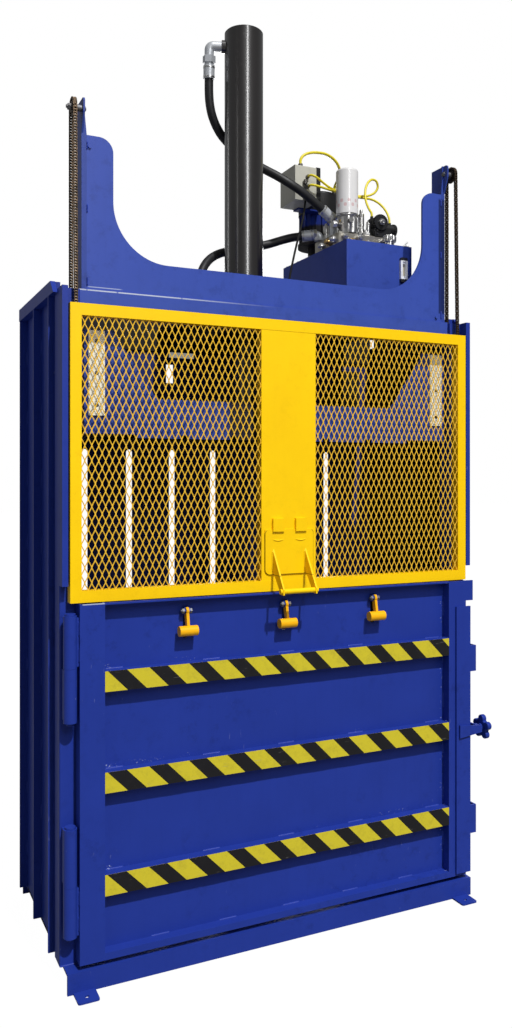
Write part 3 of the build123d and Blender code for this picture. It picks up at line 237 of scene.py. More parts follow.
class Finish:
    """The nodes of one material or world. add() makes any node from its type, its settings and
    its inputs."""

    def __init__(self, name, owners=None):
        if owners is None:
            owners = bpy.data.materials
        self.owner = owners.new(name)
        self.owner.use_nodes = True
        self.tree = self.owner.node_tree
        self.tree.nodes.clear()

    @cached_property
    def place(self):
        return self.add("ShaderNodeTexCoord", output="Object")

    def add(self, kind, settings=None, inputs=None, output=0):
        node = self.tree.nodes.new(kind)
        for key, value in (settings or {}).items():
            setattr(node, key, value)
        for key, value in (inputs or {}).items():
            if isinstance(value, Signal):
                self.tree.links.new(value.socket, node.inputs[key])
            elif hasattr(value, "__len__") and node.inputs[key].type == "RGBA":
                node.inputs[key].default_value = (*value[:3], 1)
            else:
                node.inputs[key].default_value = value
        return Signal(self, node.outputs[output])

    def noise(self, scale, detail=3.0, rough=0.55, where=None):
        return self.add("ShaderNodeTexNoise", {}, {"Vector": where or self.place, "Scale": scale,
                                                   "Detail": detail, "Roughness": rough}, "Fac")

    def stretched(self, factors):
        """The place with each axis scaled, so that a pattern runs along one of them."""
        return self.add("ShaderNodeVectorMath", {"operation": "MULTIPLY"}, {0: self.place, 1: factors})

    def axis(self, letter):
        return self.add("ShaderNodeSeparateXYZ", {}, {0: self.place}, letter)

    def mix(self, share, first, second):
        return self.add("ShaderNodeMix", {"data_type": "RGBA", "clamp_factor": True},
                        {0: share, 6: first, 7: second}, 2)

    def bump(self, height, strength, distance):
        inputs = {"Height": height, "Strength": strength, "Distance": distance}
        return self.add("ShaderNodeBump", {}, inputs, "Normal")

    def surface(self, **inputs):
        """Ends the material in one Principled shader, with sockets named in words."""
        named = {key.replace("_", " ").title().replace("Ior", "IOR"): value
                 for key, value in inputs.items()}
        return self.end(self.add("ShaderNodeBsdfPrincipled", {}, named))

    def end(self, shader, kind="ShaderNodeOutputMaterial"):
        node = self.tree.nodes.new(kind)
        self.tree.links.new(shader.socket, node.inputs["Surface"])
        return self.owner


def shade(value, factor):
    return tuple(min(1.0, c * factor) for c in value)


# Finishes

RAIL_TOPS = (0.373, 0.715, 1.053)
STILES = (-0.699, 0.716)


def enamel(name, base, gloss=0.36, scuffs=0.0, chamber=None, dirt=0.35, wear=None, stain=None):
    """Sprayed enamel: slow drifts of tone, patches of grime, streaks that run down, orange peel,
    and scuffs to the primer. Three masks in 0 to 1 add to it: chamber shows near-black worn steel
    and also paints shade, wear shows bare primer and also paints highlights, and stain paints shade."""
    f = Finish(name)
    paint = bpy.context.scene.baler_paint
    drift = f.noise(1.7, 4) * 0.6 + f.noise(7.0, 3) * 0.4
    tone = f.mix(drift, shade(base, 0.84), shade(base, 1.18))
    grime = f.noise(24.0, 5, 0.7).above(0.60, 0.10) * f.noise(2.3, 2).above(0.52, 0.16) * dirt
    tone = f.mix(grime, tone, shade(base, 0.42))
    streak = f.noise(9.0, 4, 0.6, f.stretched((6.0, 6.0, 0.35))).above(0.60, 0.12) * 0.22 * dirt
    tone = f.mix(streak, tone, shade(base, 0.55))
    rough = 0.06 * f.noise(11.0, 3) + gloss
    # The wear mask holds bare primer, and painted highlights where the header and the door glint.
    bare = [wear(f)] if wear else []
    if scuffs:
        fine = f.noise(160.0, 2, 0.5, f.stretched((1.0, 1.0, 0.16))).above(0.735, 0.02)
        coarse = f.noise(64.0, 3, 0.65).above(0.765, 0.015)
        bare.append(fine.top(coarse) * f.noise(2.6, 2).above(0.58, 0.06) * scuffs)
    # The stain mask is painted shade: the paint goes darker where shade falls.
    if stain:
        tone = f.mix(stain(f), tone, shade(base, 0.22))
    if bare:
        marks = reduce(Signal.top, bare)
        tone = f.mix(marks, tone, paint.primer)
        rough = rough + marks * 0.2
    # The chamber mask paints near-black steel: worn steel inside the chamber, painted darker as shade,
    # and painted shade alone under the roof, on the motor's foot and behind the platen.
    if chamber:
        inside = chamber(f)
        worn = f.noise(30.0, 6, 0.7)
        steel = f.mix(worn, shade(paint.chamber, 0.5), shade(paint.chamber, 2.1))
        tone = f.mix(inside, tone, steel)
        rough = rough + inside * 0.3
    peel = f.noise(420.0, 2) * 0.5 + f.noise(90.0, 2) * 0.5
    return f.surface(base_color=tone, roughness=rough, normal=f.bump(peel, 0.10, 0.0012),
                     specular_ior_level=0.17, coat_weight=0.02, coat_roughness=0.16)


def header_glints(f):
    """The primer colour paints a highlight along the left half of the header's top edge, in a thin line
    that thins out to the right, and a short painted highlight on the weld over it."""
    edge_z, weld_glint_z = 2.3376, 2.3500
    weld_glint_start, weld_glint_end = -0.735, -0.620
    x, z = f.axis("X"), f.axis("Z")
    broken = f.noise(26.0, 3, 0.6, f.stretched((1.0, 0.1, 0.1))).above(0.34, 0.05)
    # The line is a painted highlight on the edge; the scratch is a painted highlight on the weld above.
    line = z.near(edge_z, 0.0022, 0.0007) * x.below(-0.26, 0.28) * broken
    scratch = z.near(weld_glint_z, 0.0016, 0.0006) * x.below(weld_glint_end, 0.01)
    return line.top(scratch * x.above(weld_glint_start, 0.004) * 0.7)


def door_wear_and_glints(f):
    """Specks of bare primer lie on the skin close over the left-hand end of each rail. A few more pale
    specks stand over the rails, and some go down the weld of the right-hand stile: these are painted
    highlights on the welds. The top edge of the left-hand stile carries a painted highlight."""
    x, z = f.axis("X"), f.axis("Z")
    left, door_top = STILES[0], corners("door")[1][2]
    seam_start, seam_end = 0.702, 0.7155
    top_glint_start, top_glint_end, top_glint_depth = -0.775, -0.700, 0.0035
    close = sum(z.near(top + 0.008, 0.006, 0.002) for top in RAIL_TOPS)
    over = sum(z.near(top + 0.010, 0.008, 0.003) for top in RAIL_TOPS)
    specks = close * x.above(left, 0.002) * x.below(left + 0.031, 0.006)
    specks = specks * f.noise(130.0, 3).above(0.60, 0.03)
    # Painted highlights on the welds over the rails.
    few = over * f.noise(7.0, 2).above(0.635, 0.02) * f.noise(190.0, 2).above(0.670, 0.02)
    # Painted highlights down the weld of the right-hand stile.
    seam_glints = x.above(seam_start, 0.002) * x.below(seam_end, 0.001)
    seam_glints = seam_glints * f.noise(110.0, 3).above(0.66, 0.02)
    # Painted highlight along the top edge of the left-hand stile.
    rubbed = x.above(top_glint_start, 0.002) * x.below(top_glint_end, 0.002)
    rubbed = rubbed * z.above(door_top - top_glint_depth, 0.0008)
    return (specks * 0.6).top(few * 0.4).top(seam_glints * 0.5).top(rubbed * 0.8)


def chain_rub(f):
    """The towers' edges are rubbed pale by the chains."""
    return f.noise(48.0, 4, 0.7, f.stretched((1.0, 1.0, 0.3))).above(0.70, 0.04) * 0.35


def tape(name, base):
    """Reflective hazard tape: a fine embossed lattice, dirt, and scratches along its length."""
    f = Finish(name)
    lattice = f.add("ShaderNodeTexVoronoi", {"feature": "DISTANCE_TO_EDGE"},
                    {"Vector": f.place, "Scale": 260.0}, "Distance")
    dirt = f.noise(34.0, 5, 0.7).above(0.56, 0.12)
    scratch = f.noise(70.0, 3, 0.6, f.stretched((0.25, 1.0, 2.4))).above(0.70, 0.03)
    tone = f.mix(dirt * 0.35, base, shade(base, 0.55))
    tone = f.mix(scratch * 0.30, tone, (0.24, 0.23, 0.20))
    tone = f.mix(lattice.above(0.05, 0.04) * 0.10, tone, shade(base, 1.5))
    return f.surface(base_color=tone, roughness=0.42 + 0.2 * dirt, specular_ior_level=0.35,
                     normal=f.bump(lattice, 0.12, 0.0006))


def gloss_black(name):
    """Thick black enamel over a turned tube: almost a mirror, with dust and fine runs."""
    f = Finish(name)
    dust = f.noise(46.0, 5, 0.7).above(0.66, 0.10)
    runs = f.noise(12.0, 3, 0.5, f.stretched((3.0, 3.0, 0.25)))
    tone = f.mix(dust * 0.06, (0.0040, 0.0022, 0.0020), (0.04, 0.03, 0.03))
    return f.surface(base_color=tone, roughness=0.26 + 0.10 * runs + 0.1 * dust,
                     specular_ior_level=0.7, normal=f.bump(runs, 0.04, 0.0008),
                     coat_weight=1.0, coat_roughness=0.155)


def metal(name, base, rough, stain=0.25, stain_tone=(0.10, 0.07, 0.04), metallic=1.0):
    """Plated or machined steel: a fine grain, and stains that gather in patches."""
    f = Finish(name)
    grain = f.noise(240.0, 2, 0.5)
    patch = f.noise(38.0, 4, 0.65).above(0.56, 0.12)
    tone = f.mix(grain, shade(base, 0.82), shade(base, 1.12))
    tone = f.mix(patch * stain, tone, stain_tone)
    return f.surface(base_color=tone, metallic=metallic - 0.5 * patch * stain,
                     roughness=rough + 0.12 * grain + 0.2 * patch * stain,
                     normal=f.bump(grain, 0.06, 0.0005))


def rubber(name, base, rough=0.52):
    """A hose's cover: the print of its wrapping cloth, rubbed paler in places."""
    f = Finish(name)
    cloth = f.noise(420.0, 2) * 0.6 + f.noise(60.0, 3) * 0.4
    rubbed = f.noise(15.0, 4, 0.6).above(0.56, 0.14)
    tone = f.mix(rubbed * 0.5, base, shade(base, 2.4))
    return f.surface(base_color=tone, roughness=rough - 0.12 * rubbed, specular_ior_level=0.3,
                     normal=f.bump(cloth, 0.25, 0.0008))


def plastic(name, base, rough=0.42, speckle=0.12, dirt=0.3, glow=0.0):
    """Moulded plastic: a fine spark texture, faint marbling and handled dirt. The glow is painted light:
    it makes a part shine in a dark place."""
    f = Finish(name)
    grain = f.noise(700.0, 2)
    marble = f.noise(14.0, 4)
    soil = f.noise(40.0, 5, 0.7).above(0.60, 0.12) * dirt
    tone = f.mix(marble, shade(base, 1 - speckle), shade(base, 1 + speckle))
    tone = f.mix(soil, tone, shade(base, 0.45))
    return f.surface(base_color=tone, roughness=rough + 0.1 * marble + 0.15 * soil,
                     specular_ior_level=0.3, normal=f.bump(grain, 0.12, 0.0004),
                     emission_color=tone, emission_strength=glow)


def filter_paint(name):
    """White can with two plain rows of pale red dots round its foot, brushed with oil mist. The
    dots are the peaks of a sine wave round the can times one up it."""
    f = Finish(name)
    dots_around, row_pitch, rows_rise = 9, 0.036, 0.043
    x, y, _ = middle("filter_canister")
    z = f.axis("Z") - (corners("filter_canister")[0][2] + rows_rise)
    turn = f.add("ShaderNodeMath", {"operation": "ARCTAN2"}, {0: f.axis("Y") - y, 1: f.axis("X") - x})
    waves = (turn * dots_around).sine() * (z * (TURN / row_pitch)).sine()
    dots = waves.above(0.30, 0.10) * abs(z).below(row_pitch / 2, 0.0006) * 0.45
    mist = f.noise(18.0, 4, 0.6).above(0.56, 0.2)
    tone = f.mix(mist * 0.18, (0.70, 0.69, 0.68), (0.48, 0.46, 0.46))
    tone = f.mix(dots, tone, (0.50, 0.16, 0.16))
    return f.surface(base_color=tone, roughness=0.32 + 0.1 * mist,
                     normal=f.bump(f.noise(240.0, 2), 0.05, 0.0005), coat_weight=0.3)


def inside_back(f):
    """The back wall is dark before this y, on its inner face and in the front of its slots: worn steel,
    painted near black as shade.
    """
    inner_face = 0.3570
    return f.axis("Y").below(inner_face)


def inside_side(f):
    """The side walls are dark on their inner faces, nearer the middle than this x: worn steel, painted
    near black as shade.
    """
    inner_face = 0.8186
    return abs(f.axis("X")).below(inner_face)


def roof_underside_shade(f):
    """The roof's beams and the cylinder plate are painted dark, as shade, from a millimetre under their
    top faces.
    """
    under, beam_top, plate_top = 0.001, 2.368, 2.345
    plate_back, plate_half_width = 0.262, 0.2605
    z = f.axis("Z")
    on_plate = f.axis("Y").below(plate_back, 0.002) * abs(f.axis("X")).below(plate_half_width)
    return 1 - z.above(beam_top - under).top(z.above(plate_top - under) * on_plate)


def ear_edge(f):
    """The right-hand tower and the ear's edge beside it are darker, in the shade of the weld."""
    edge_x, foot_z, top_z = 0.7275, 2.375, 2.846
    z = f.axis("Z")
    return f.axis("X").above(edge_x, 0.0012) * z.above(foot_z, 0.004) * z.below(top_z, 0.006) * 0.85


def motor_foot_shade(f):
    """The motor's lower part and its adapter are painted nearly black under this z, as shade."""
    # Top of the painted shade.
    oil_top = 2.838
    return f.axis("Z").below(oil_top, 0.006)


def behind_platen(f):
    """Only the front plate of the platen is blue: what lies behind it is painted dark, as shade, and its
    middle is painted black.
    """
    plate_back, black_start, black_end = -0.3066, -0.215, 0.130
    x = f.axis("X")
    black_middle = x.above(black_start, 0.012) * x.below(black_end, 0.012)
    return f.axis("Y").above(plate_back).top(black_middle * 0.93)


def plate_outline_shade(f):
    """A thin dark line of painted shade runs round the handle plate, but not along its top, on an outline
    with round corners: the distance to the plate's rectangle, less its corner radius, is near nothing."""
    half_width, half_height, middle_z, radius, top_z = 0.100, 0.0825, 1.4275, 0.018, 1.506
    x = (abs(f.axis("X")) - (half_width - radius)).top(0.0)
    z = (abs(f.axis("Z") - middle_z) - (half_height - radius)).top(0.0)
    edge = (x * x + z * z) ** 0.5 - radius
    return abs(edge).below(0.0013, 0.0007) * f.axis("Z").below(top_z, 0.002) * 0.8


def everywhere(f):
    """Worn steel, painted near black as shade, over most of the floor, with some enamel left in patches.
    """
    return f.noise(3.0, 4).above(0.30, 0.2)


def gauge_face(name):
    """Level gauge: a pale body with dark ends, and old oil behind its window."""
    f = Finish(name)
    dark_end, window_end, window_half_width = 0.013, 0.026, 0.0066
    front_depth, back_depth = 0.002, 0.0045
    low, high = corners("level_gauge")
    middle_x, _, middle_z = middle("level_gauge")
    half = (high[2] - low[2]) / 2
    oil_top = low[2] + 1.25 * half
    y, z = f.axis("Y"), f.axis("Z")
    height = abs(z - middle_z)
    window = f.axis("X").near(middle_x, window_half_width) * height.below(half - window_end)
    window = window * y.above(low[1] + front_depth) * y.below(high[1] - back_depth, 0.0002)
    tone = f.mix(height.below(half - dark_end, 0.0006), (0.012, 0.012, 0.013), (0.80, 0.81, 0.85))
    oil = f.mix(z.below(oil_top, 0.001), (0.10, 0.10, 0.10), (0.46, 0.42, 0.33))
    tone = f.mix(window, tone, oil)
    tone = f.mix(f.noise(60.0, 4).above(0.62, 0.1) * 0.2, tone, (0.18, 0.17, 0.15))
    return f.surface(base_color=tone, roughness=0.34, normal=f.bump(f.noise(400.0, 2), 0.08, 0.0004))


@cache
def finishes():
    """Every finish, made once, by its own name and by the name of each CAD node that wears it. The
    number that Blender adds to a material's name when that name is taken is left off."""
    p = bpy.context.scene.baler_paint
    worn = [
        (enamel("blue_enamel", p.blue, scuffs=0.5), ""),
        (enamel("blue_door", p.blue, scuffs=0.15, wear=door_wear_and_glints), "door latch_bar"),
        (enamel("blue_crosshead", p.upper, wear=header_glints, stain=ear_edge), "crosshead_front"),
        (enamel("blue_tank", shade(p.upper, 0.94), scuffs=0.15), "oil_tank tank_lid"),
        # Painted shade: the towers wear the lit blue made darker, as the shade beside the ears.
        (enamel("blue_towers", shade(p.upper, 0.80), scuffs=0.3, wear=chain_rub, stain=ear_edge),
         "chain_towers"),
        (enamel("blue_motor", shade(p.blue, 0.75), chamber=motor_foot_shade, dirt=0.6), "motor"),
        (enamel("blue_roof", p.blue, chamber=roof_underside_shade), "roof_frame"),
        # Painted light: the platen's front plate wears the lit blue.
        (enamel("blue_platen", shade(p.upper, 0.80), chamber=behind_platen, dirt=0.6), "platen"),
        (enamel("blue_back_wall", p.blue, scuffs=0.2, chamber=inside_back), "back_wall"),
        (enamel("blue_side_wall", p.blue, scuffs=0.3, chamber=inside_side),
         "left_side_wall right_side_wall"),
        (enamel("blue_floor", p.blue, scuffs=0.2, chamber=everywhere), "floor"),
        (enamel("yellow_enamel", p.yellow, gloss=0.40, dirt=0.14), "gate_frame"),
        (enamel("dog_enamel", p.dog, gloss=0.36, dirt=0.4),
         "left_retainer_dog centre_retainer_dog right_retainer_dog"),
        (enamel("yellow_panel", p.yellow, gloss=0.40, dirt=0.14, stain=plate_outline_shade), "gate_panel"),
        (enamel("mesh_enamel", p.mesh, gloss=0.42, dirt=0.3), "gate_mesh"),
        (tape("tape_yellow", p.tape_yellow), "hazard_tape"),
        (tape("tape_black", p.tape_black), "hazard_stripes"),
        (gloss_black("cylinder_black"), "cylinder_barrel cylinder_cap"),
        (metal("zinc_plate", (0.46, 0.455, 0.44), 0.32), "rod_pin"),
        (metal("dull_zinc", (0.17, 0.175, 0.19), 0.48, stain=0.5, metallic=0.8),
         "cylinder_bolts dog_bolts sprocket_axles"),
        (metal("sleeve_zinc", (0.52, 0.54, 0.57), 0.34, stain=0.10, metallic=0.45),
         "hose_fittings port_fittings"),
        (metal("bright_steel", (0.56, 0.555, 0.545), 0.24, stain=0.15), "filter_head breather_cap"),
        (metal("fitting_dark", (0.13, 0.125, 0.12), 0.30), "cable_glands"),
        (metal("chain_steel", (0.085, 0.060, 0.040), 0.38, stain=0.6, stain_tone=(0.012, 0.009, 0.006)),
         "left_lift_chain right_lift_chain left_sprocket right_sprocket"),
        (metal("plain_steel", (0.36, 0.35, 0.34), 0.38, stain=0.4),
         "cylinder_gland piston left_counterweight right_counterweight pump"),
        (metal("brass", (0.55, 0.38, 0.16), 0.30, stain=0.2), ""),
        (metal("hard_chrome", (0.24, 0.245, 0.25), 0.30, stain=0.2), "piston_rod"),
        (metal("valve_body", (0.42, 0.40, 0.35), 0.34, stain=0.35), "valve_manifold"),
        (rubber("hose_cover", (0.010, 0.010, 0.011)), "upper_hose lower_hose"),
        (rubber("thin_cable", (0.0030, 0.0030, 0.0032), 0.7), "control_cable"),
        (plastic("cable_sheath", p.cable, rough=0.30, speckle=0.06, dirt=0.12),
         "motor_cable solenoid_cables"),
        (enamel("box_grey", p.box, gloss=0.34, dirt=0.3), "junction_box"),
        (plastic("black_plastic", (0.008, 0.008, 0.009)),
         "motor_fan_cover junction_box_cover solenoid_valve"),
        (filter_paint("filter_white"), "filter_canister"),
        (gauge_face("gauge"), "level_gauge"),
        (plastic("wear_strip", p.strip, rough=0.5, speckle=0.10, dirt=0.4), "platen_wear_strips"),
        # The label's glow is painted light, so that it shows in the shade behind the gate.
        (plastic("blank_label", (0.80, 0.80, 0.76), rough=0.3, dirt=0.15, glow=0.30), ""),
    ]
    return {name: made for made, nodes in worn
            for name in (made.name.split(".")[0], *nodes.split())}


# Mesh kit


def closed_tubes(rings):
    """rings[k, u, v] are points of tube k: u runs along it and v closes round it. Neighbouring
    points make quads, and each end ring closes on its own middle point."""
    rings = np.asarray(rings, float)
    if rings.ndim == 3:
        rings = rings[None]
    tubes, along, around, _ = rings.shape
    ends = rings[:, (0, -1)].mean(axis=2)
    points = np.concatenate([rings.reshape(tubes, along * around, 3), ends], axis=1)
    u, v = np.meshgrid(np.arange(along - 1), np.arange(around), indexing="ij")
    w = (v + 1) % around
    quads = np.stack([u * around + v, u * around + w, (u + 1) * around + w, (u + 1) * around + v],
                     axis=-1).reshape(-1, 4)
    ring = np.arange(around)
    after = (ring + 1) % around
    last_ring = (along - 1) * around
    first_end = np.full(around, along * around)
    fans = np.concatenate([
        np.stack([after, ring, first_end], axis=-1),
        np.stack([last_ring + ring, last_ring + after, first_end + 1], axis=-1)])
    shift = (np.arange(tubes) * (along * around + 2))[:, None, None]
    return points.reshape(-1, 3), (quads + shift).reshape(-1, 4), (fans + shift).reshape(-1, 3)


def axis_frame(axis):
    """Two unit vectors square to the axis and to each other."""
    axis = np.asarray(axis, float) / np.linalg.norm(axis)
    helper = np.array([0.0, 0.0, 1.0]) if abs(axis[2]) < 0.9 else np.array([1.0, 0.0, 0.0])
    side = np.cross(helper, axis)
    side /= np.linalg.norm(side)
    return axis, side, np.cross(axis, side)


def angles(sides):
    return np.arange(sides) * TURN / sides


def carried(centre, axis, distances, radii):
    """Rings square to an axis: radii[i, k] is the radius at distance i along it and angle k."""
    axis, side, other = axis_frame(axis)
    angle = angles(radii.shape[1])[:, None]
    ring = np.cos(angle) * side + np.sin(angle) * other
    middles = np.asarray(centre, float) + distances[:, None] * axis
    return closed_tubes(middles[:, None] + radii[..., None] * ring)


def turned(profile, centre, axis, sides, flats=0, across=0.0):
    """A profile of (distance along the axis, radius) carried round the axis. With flats, the
    radius at each angle is the smaller of the profile's and a regular polygon's."""
    profile = np.asarray(profile, float)
    radii = np.repeat(profile[:, 1:], sides, axis=1)
    if flats:
        wedge = angles(sides) % (TURN / flats) - TURN / flats / 2
        radii = np.minimum(radii, across / 2 / np.cos(wedge))
    return carried(centre, axis, profile[:, 0], radii)


def stud(centre, axis, radius, height, top, top_radius, sides=24):
    """A round stud whose rim narrows to the top radius between the height and the top."""
    return turned([(0, radius), (height, radius), (top, top_radius)], centre, axis, sides)


def nut(centre, axis, across, height):
    """A hexagon with both rims chamfered by a turned profile."""
    corner = across / math.sqrt(3)
    edge = corner * 0.90
    step = height * 0.14
    profile = [(0, edge), (step, corner * 1.01), (height - step, corner * 1.01), (height, edge)]
    return turned(profile, centre, axis, sides=24, flats=6, across=across)


def fluted(centre, axis, radius, height, flutes, depth, sides=96):
    """A knurled ring: its radius falls by depth in a cosine wave with so many flutes."""
    along = np.array([0.0, 0.12, 0.88, 1.0]) * height
    size = np.array([[0.93], [1.0], [1.0], [0.93]]) * radius
    wave = (0.5 + 0.5 * np.cos(flutes * angles(sides))) * np.array([[0], [1], [1], [0]])
    return carried(centre, axis, along, size - depth * wave)


def plate_links(joints, side, offset, end_height, waist, thickness):
    """Link plates between pairs of pins: each outline is two round ends with a narrower waist,
    and two equal outlines a thickness apart make one closed plate. joints[k] holds the two pins."""
    start, stop = joints[:, 0], joints[:, 1]
    reach = np.linalg.norm(stop - start, axis=1, keepdims=True)
    along = (stop - start) / reach
    up = np.cross(side, along)
    angle = np.radians([-105.0, -60.0, -20.0, 20.0, 60.0, 105.0])
    across = np.concatenate([np.sin(angle), -np.sin(angle)])
    at_waist = np.isin(np.arange(12), (0, 5, 6, 11))
    height = across * end_height / 2 - at_waist * np.sign(across) * (end_height - waist) * 0.4
    forward = np.concatenate([np.cos(angle), -np.cos(angle)]) * end_height / 2
    forward = np.repeat((0.5, -0.5), 6) * reach + forward
    flat = (start + stop)[:, None] / 2 + forward[..., None] * along[:, None]
    flat = flat + height[:, None] * up[:, None]
    return closed_tubes(np.stack([flat + side * offset, flat + side * (offset + thickness)], axis=1))


def bead(start, stop, face_a, face_b, leg, ripple, relief):
    """A fillet weld between two faces that meet along a line: a quarter-round section swept along
    it, whose size swells and falls with the ripples and tapers at both ends."""
    start, stop = np.asarray(start, float), np.asarray(stop, float)
    face_a, face_b = np.asarray(face_a, float), np.asarray(face_b, float)
    reach = np.linalg.norm(stop - start)
    count = max(6, int(reach / ripple * 4))
    t = np.linspace(0, 1, count + 1)
    wave = 1 - relief * (0.5 + 0.5 * np.cos(t * reach / ripple * TURN))
    size = leg * wave * np.minimum(1, np.minimum(t, 1 - t) * reach / leg * 0.8 + 0.35)
    a = np.array([-0.18, 1.00, 0.80, 0.55, 0.02, -0.18])
    b = np.array([-0.18, -0.18, 0.42, 0.66, 1.00, 0.90])
    line = start + t[:, None] * (stop - start)
    section = a[:, None] * face_a + b[:, None] * face_b
    return closed_tubes(line[:, None] + size[:, None, None] * section[None])


def box_shell(low, high, bevel):
    """A block with chamfered rims: four rings of an eight-sided outline along Z, of which the
    first and the last are smaller by the bevel."""
    low, high = np.asarray(low, float), np.asarray(high, float)
    centre, half = (low + high) / 2, (high - low) / 2
    cut = half - bevel
    x, y = (np.array([-c, c, h, h, c, -c, -h, -h]) for c, h in zip(cut[:2], half[:2]))
    outline = np.stack([x, np.roll(y, 2), np.zeros(8)], axis=-1)
    smaller = (cut / half) * (1, 1, 0)
    rings = [centre + outline * size + (0, 0, z)
             for z, size in ((-half[2], smaller), (-cut[2], 1), (cut[2], 1), (half[2], smaller))]
    return closed_tubes(rings)


def mirrored(shells):
    """The same shells on the other side of the machine, with their faces turned back outwards."""
    flip = np.array([-1.0, 1.0, 1.0])
    return [(p * flip, q[:, ::-1], t[:, ::-1]) for p, q, t in shells]


def piece(name, shells, finish, body, slot=None, smooth=40.0):
    """One object from closed shells, in place, with its material and body. The slot is not used."""
    points = np.concatenate([s[0] for s in shells])
    starts = np.cumsum([0] + [len(s[0]) for s in shells])[:-1]
    quads = np.concatenate([s[1] + k for s, k in zip(shells, starts)])
    tris = np.concatenate([s[2] + k for s, k in zip(shells, starts)])
    mesh = bpy.data.meshes.new(name)
    mesh.vertices.add(len(points))
    mesh.vertices.foreach_set("co", points.astype(np.float32).ravel())
    loops = np.concatenate([quads.ravel(), tris.ravel()])
    mesh.loops.add(len(loops))
    mesh.loops.foreach_set("vertex_index", loops.astype(np.int32))
    sizes = np.concatenate([np.full(len(quads), 4), np.full(len(tris), 3)])
    mesh.polygons.add(len(sizes))
    mesh.polygons.foreach_set("loop_start", np.concatenate([[0], np.cumsum(sizes)[:-1]]).astype(np.int32))
    mesh.update(calc_edges=True)
    mesh.validate()
    turn_outwards(mesh)
    mesh.polygons.foreach_set("use_smooth", np.ones(len(mesh.polygons), bool))
    mesh.set_sharp_from_angle(angle=math.radians(smooth))
    mesh.materials.append(finishes()[finish])
    made = bpy.data.objects.new(name, mesh)
    bpy.context.scene.collection.objects.link(made)
    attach(made, body)
    return made


def turn_outwards(mesh):
    """Closed shells get their faces turned outwards."""
    work = bmesh.new()
    work.from_mesh(mesh)
    bmesh.ops.recalc_face_normals(work, faces=work.faces)
    work.to_mesh(mesh)
    work.free()


# Operators


class BALER_OT_paint(bpy.types.Operator):
    """Give every CAD node its finish"""
    bl_idname = "baler.paint"
    bl_label = "Paint the frame"

    def execute(self, context):
        for name, node in NODES.items():
            node.data.materials.clear()
            node.data.materials.append(finishes().get(name, finishes()["blue_enamel"]))
        return {"FINISHED"}


class BALER_OT_expanded_metal(bpy.types.Operator):
    """Weave the gate's expanded metal from single strands"""
    bl_idname = "baler.expanded_metal"
    bl_label = "Expanded metal"

    def execute(self, context):
        s = context.scene.baler_mesh
        low, high = corners("gate_mesh")
        inner = corners("gate_panel")[1][0]
        width, height = high[0] - inner, high[2] - low[2]
        columns = round(width / s.diamond_width)
        rows = round(height / s.diamond_height)
        step_x, step_z = width / columns, height / rows
        half_row, column, lean = np.meshgrid(np.arange(2 * rows), np.arange(columns + 1), (-1, 1),
                                             indexing="ij")
        x0 = inner + (column + 0.5 * (half_row % 2)) * step_x
        z0 = low[2] + half_row * step_z / 2
        x1 = x0 + lean * step_x / 2
        play = 1e-6
        keep = (np.minimum(x0, x1) > inner - play) & (np.maximum(x0, x1) < high[0] + play)
        x0, z0, lean = x0[keep], z0[keep], lean[keep]
        shells = [strands(x0, z0, lean, step_x / 2, step_z / 2, (low[1] + high[1]) / 2, s)]
        mesh = piece("expanded_metal", shells + mirrored(shells), "mesh_enamel", "gate", "mesh_paint")
        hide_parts("gate_mesh")
        return {"FINISHED"}


def strands(x0, z0, lean, reach_x, reach_z, y, s):
    """Strands of expanded metal. Each climbs half a diamond from one bond to the next; its way
    across is a smooth step, so that it stands upright at both bonds. Its rectangular section turns
    out of the sheet by the tilt between them and widens towards both."""
    t = np.linspace(0, 1, 6)
    curved = 0.45
    ease = t * t * (3 - 2 * t) * curved + t * (1 - curved)
    x = x0[:, None] + lean[:, None] * reach_x * ease
    z = z0[:, None] + reach_z * t
    slope = lean[:, None] * reach_x * (1 - curved + curved * 6 * t * (1 - t))
    norm = np.sqrt(slope ** 2 + reach_z ** 2)
    across = np.stack([np.full_like(slope, reach_z) / norm, np.zeros_like(slope), -slope / norm], -1)
    out = np.array([0.0, 1.0, 0.0])
    tilt = s.strand_tilt * np.sin(np.pi * t)[None, :, None] * lean[:, None, None]
    wide = across * np.cos(tilt) + out * np.sin(tilt)
    thick = out * np.cos(tilt) - across * np.sin(tilt)
    w, h = s.strand_width / 2, s.strand_thickness / 2
    growth = 0.22
    flare = (1 + growth * np.abs(1 - 2 * t) ** 3)[None, :, None]
    corner = [a * w * flare * wide + b * h * thick for a, b in ((-1, -1), (1, -1), (1, 1), (-1, 1))]
    centre = np.stack([x, np.full_like(x, y), z], -1)
    return closed_tubes(centre[:, :, None] + np.stack(corner, axis=2))


class BALER_OT_lift_chains(bpy.types.Operator):
    """Lay single links and rollers along both lift chains"""
    bl_idname = "baler.lift_chains"
    bl_label = "Lift chains"

    def execute(self, context):
        s = context.scene.baler_chain
        wheel = middle("right_sprocket")
        radius = s.pitch / math.sin(math.pi / s.teeth) / 2
        front, rest = chain_pins(wheel, radius, s)
        for side in ("right", "left"):
            strand = chain_shells(front, 0, s)
            loop = chain_shells(rest, len(front) - 1, s)
            if side == "left":
                strand, loop = mirrored(strand), mirrored(loop)
            top = piece(side + "_chain_loop", loop, "chain_steel", "frame", "chain_steel", 30)
            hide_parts(side + "_lift_chain")
            hanging = piece(side + "_chain_strand", strand, "chain_steel", "frame", "chain_steel", 30)
            reach = float(wheel[2]) - s.foot_z
            lift = next(j for j in frame["joints"] if j["name"] == "gate_lift")["range_m"][1]
            max(0.05, (reach - lift) / reach)
            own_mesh(hanging)
        return {"FINISHED"}


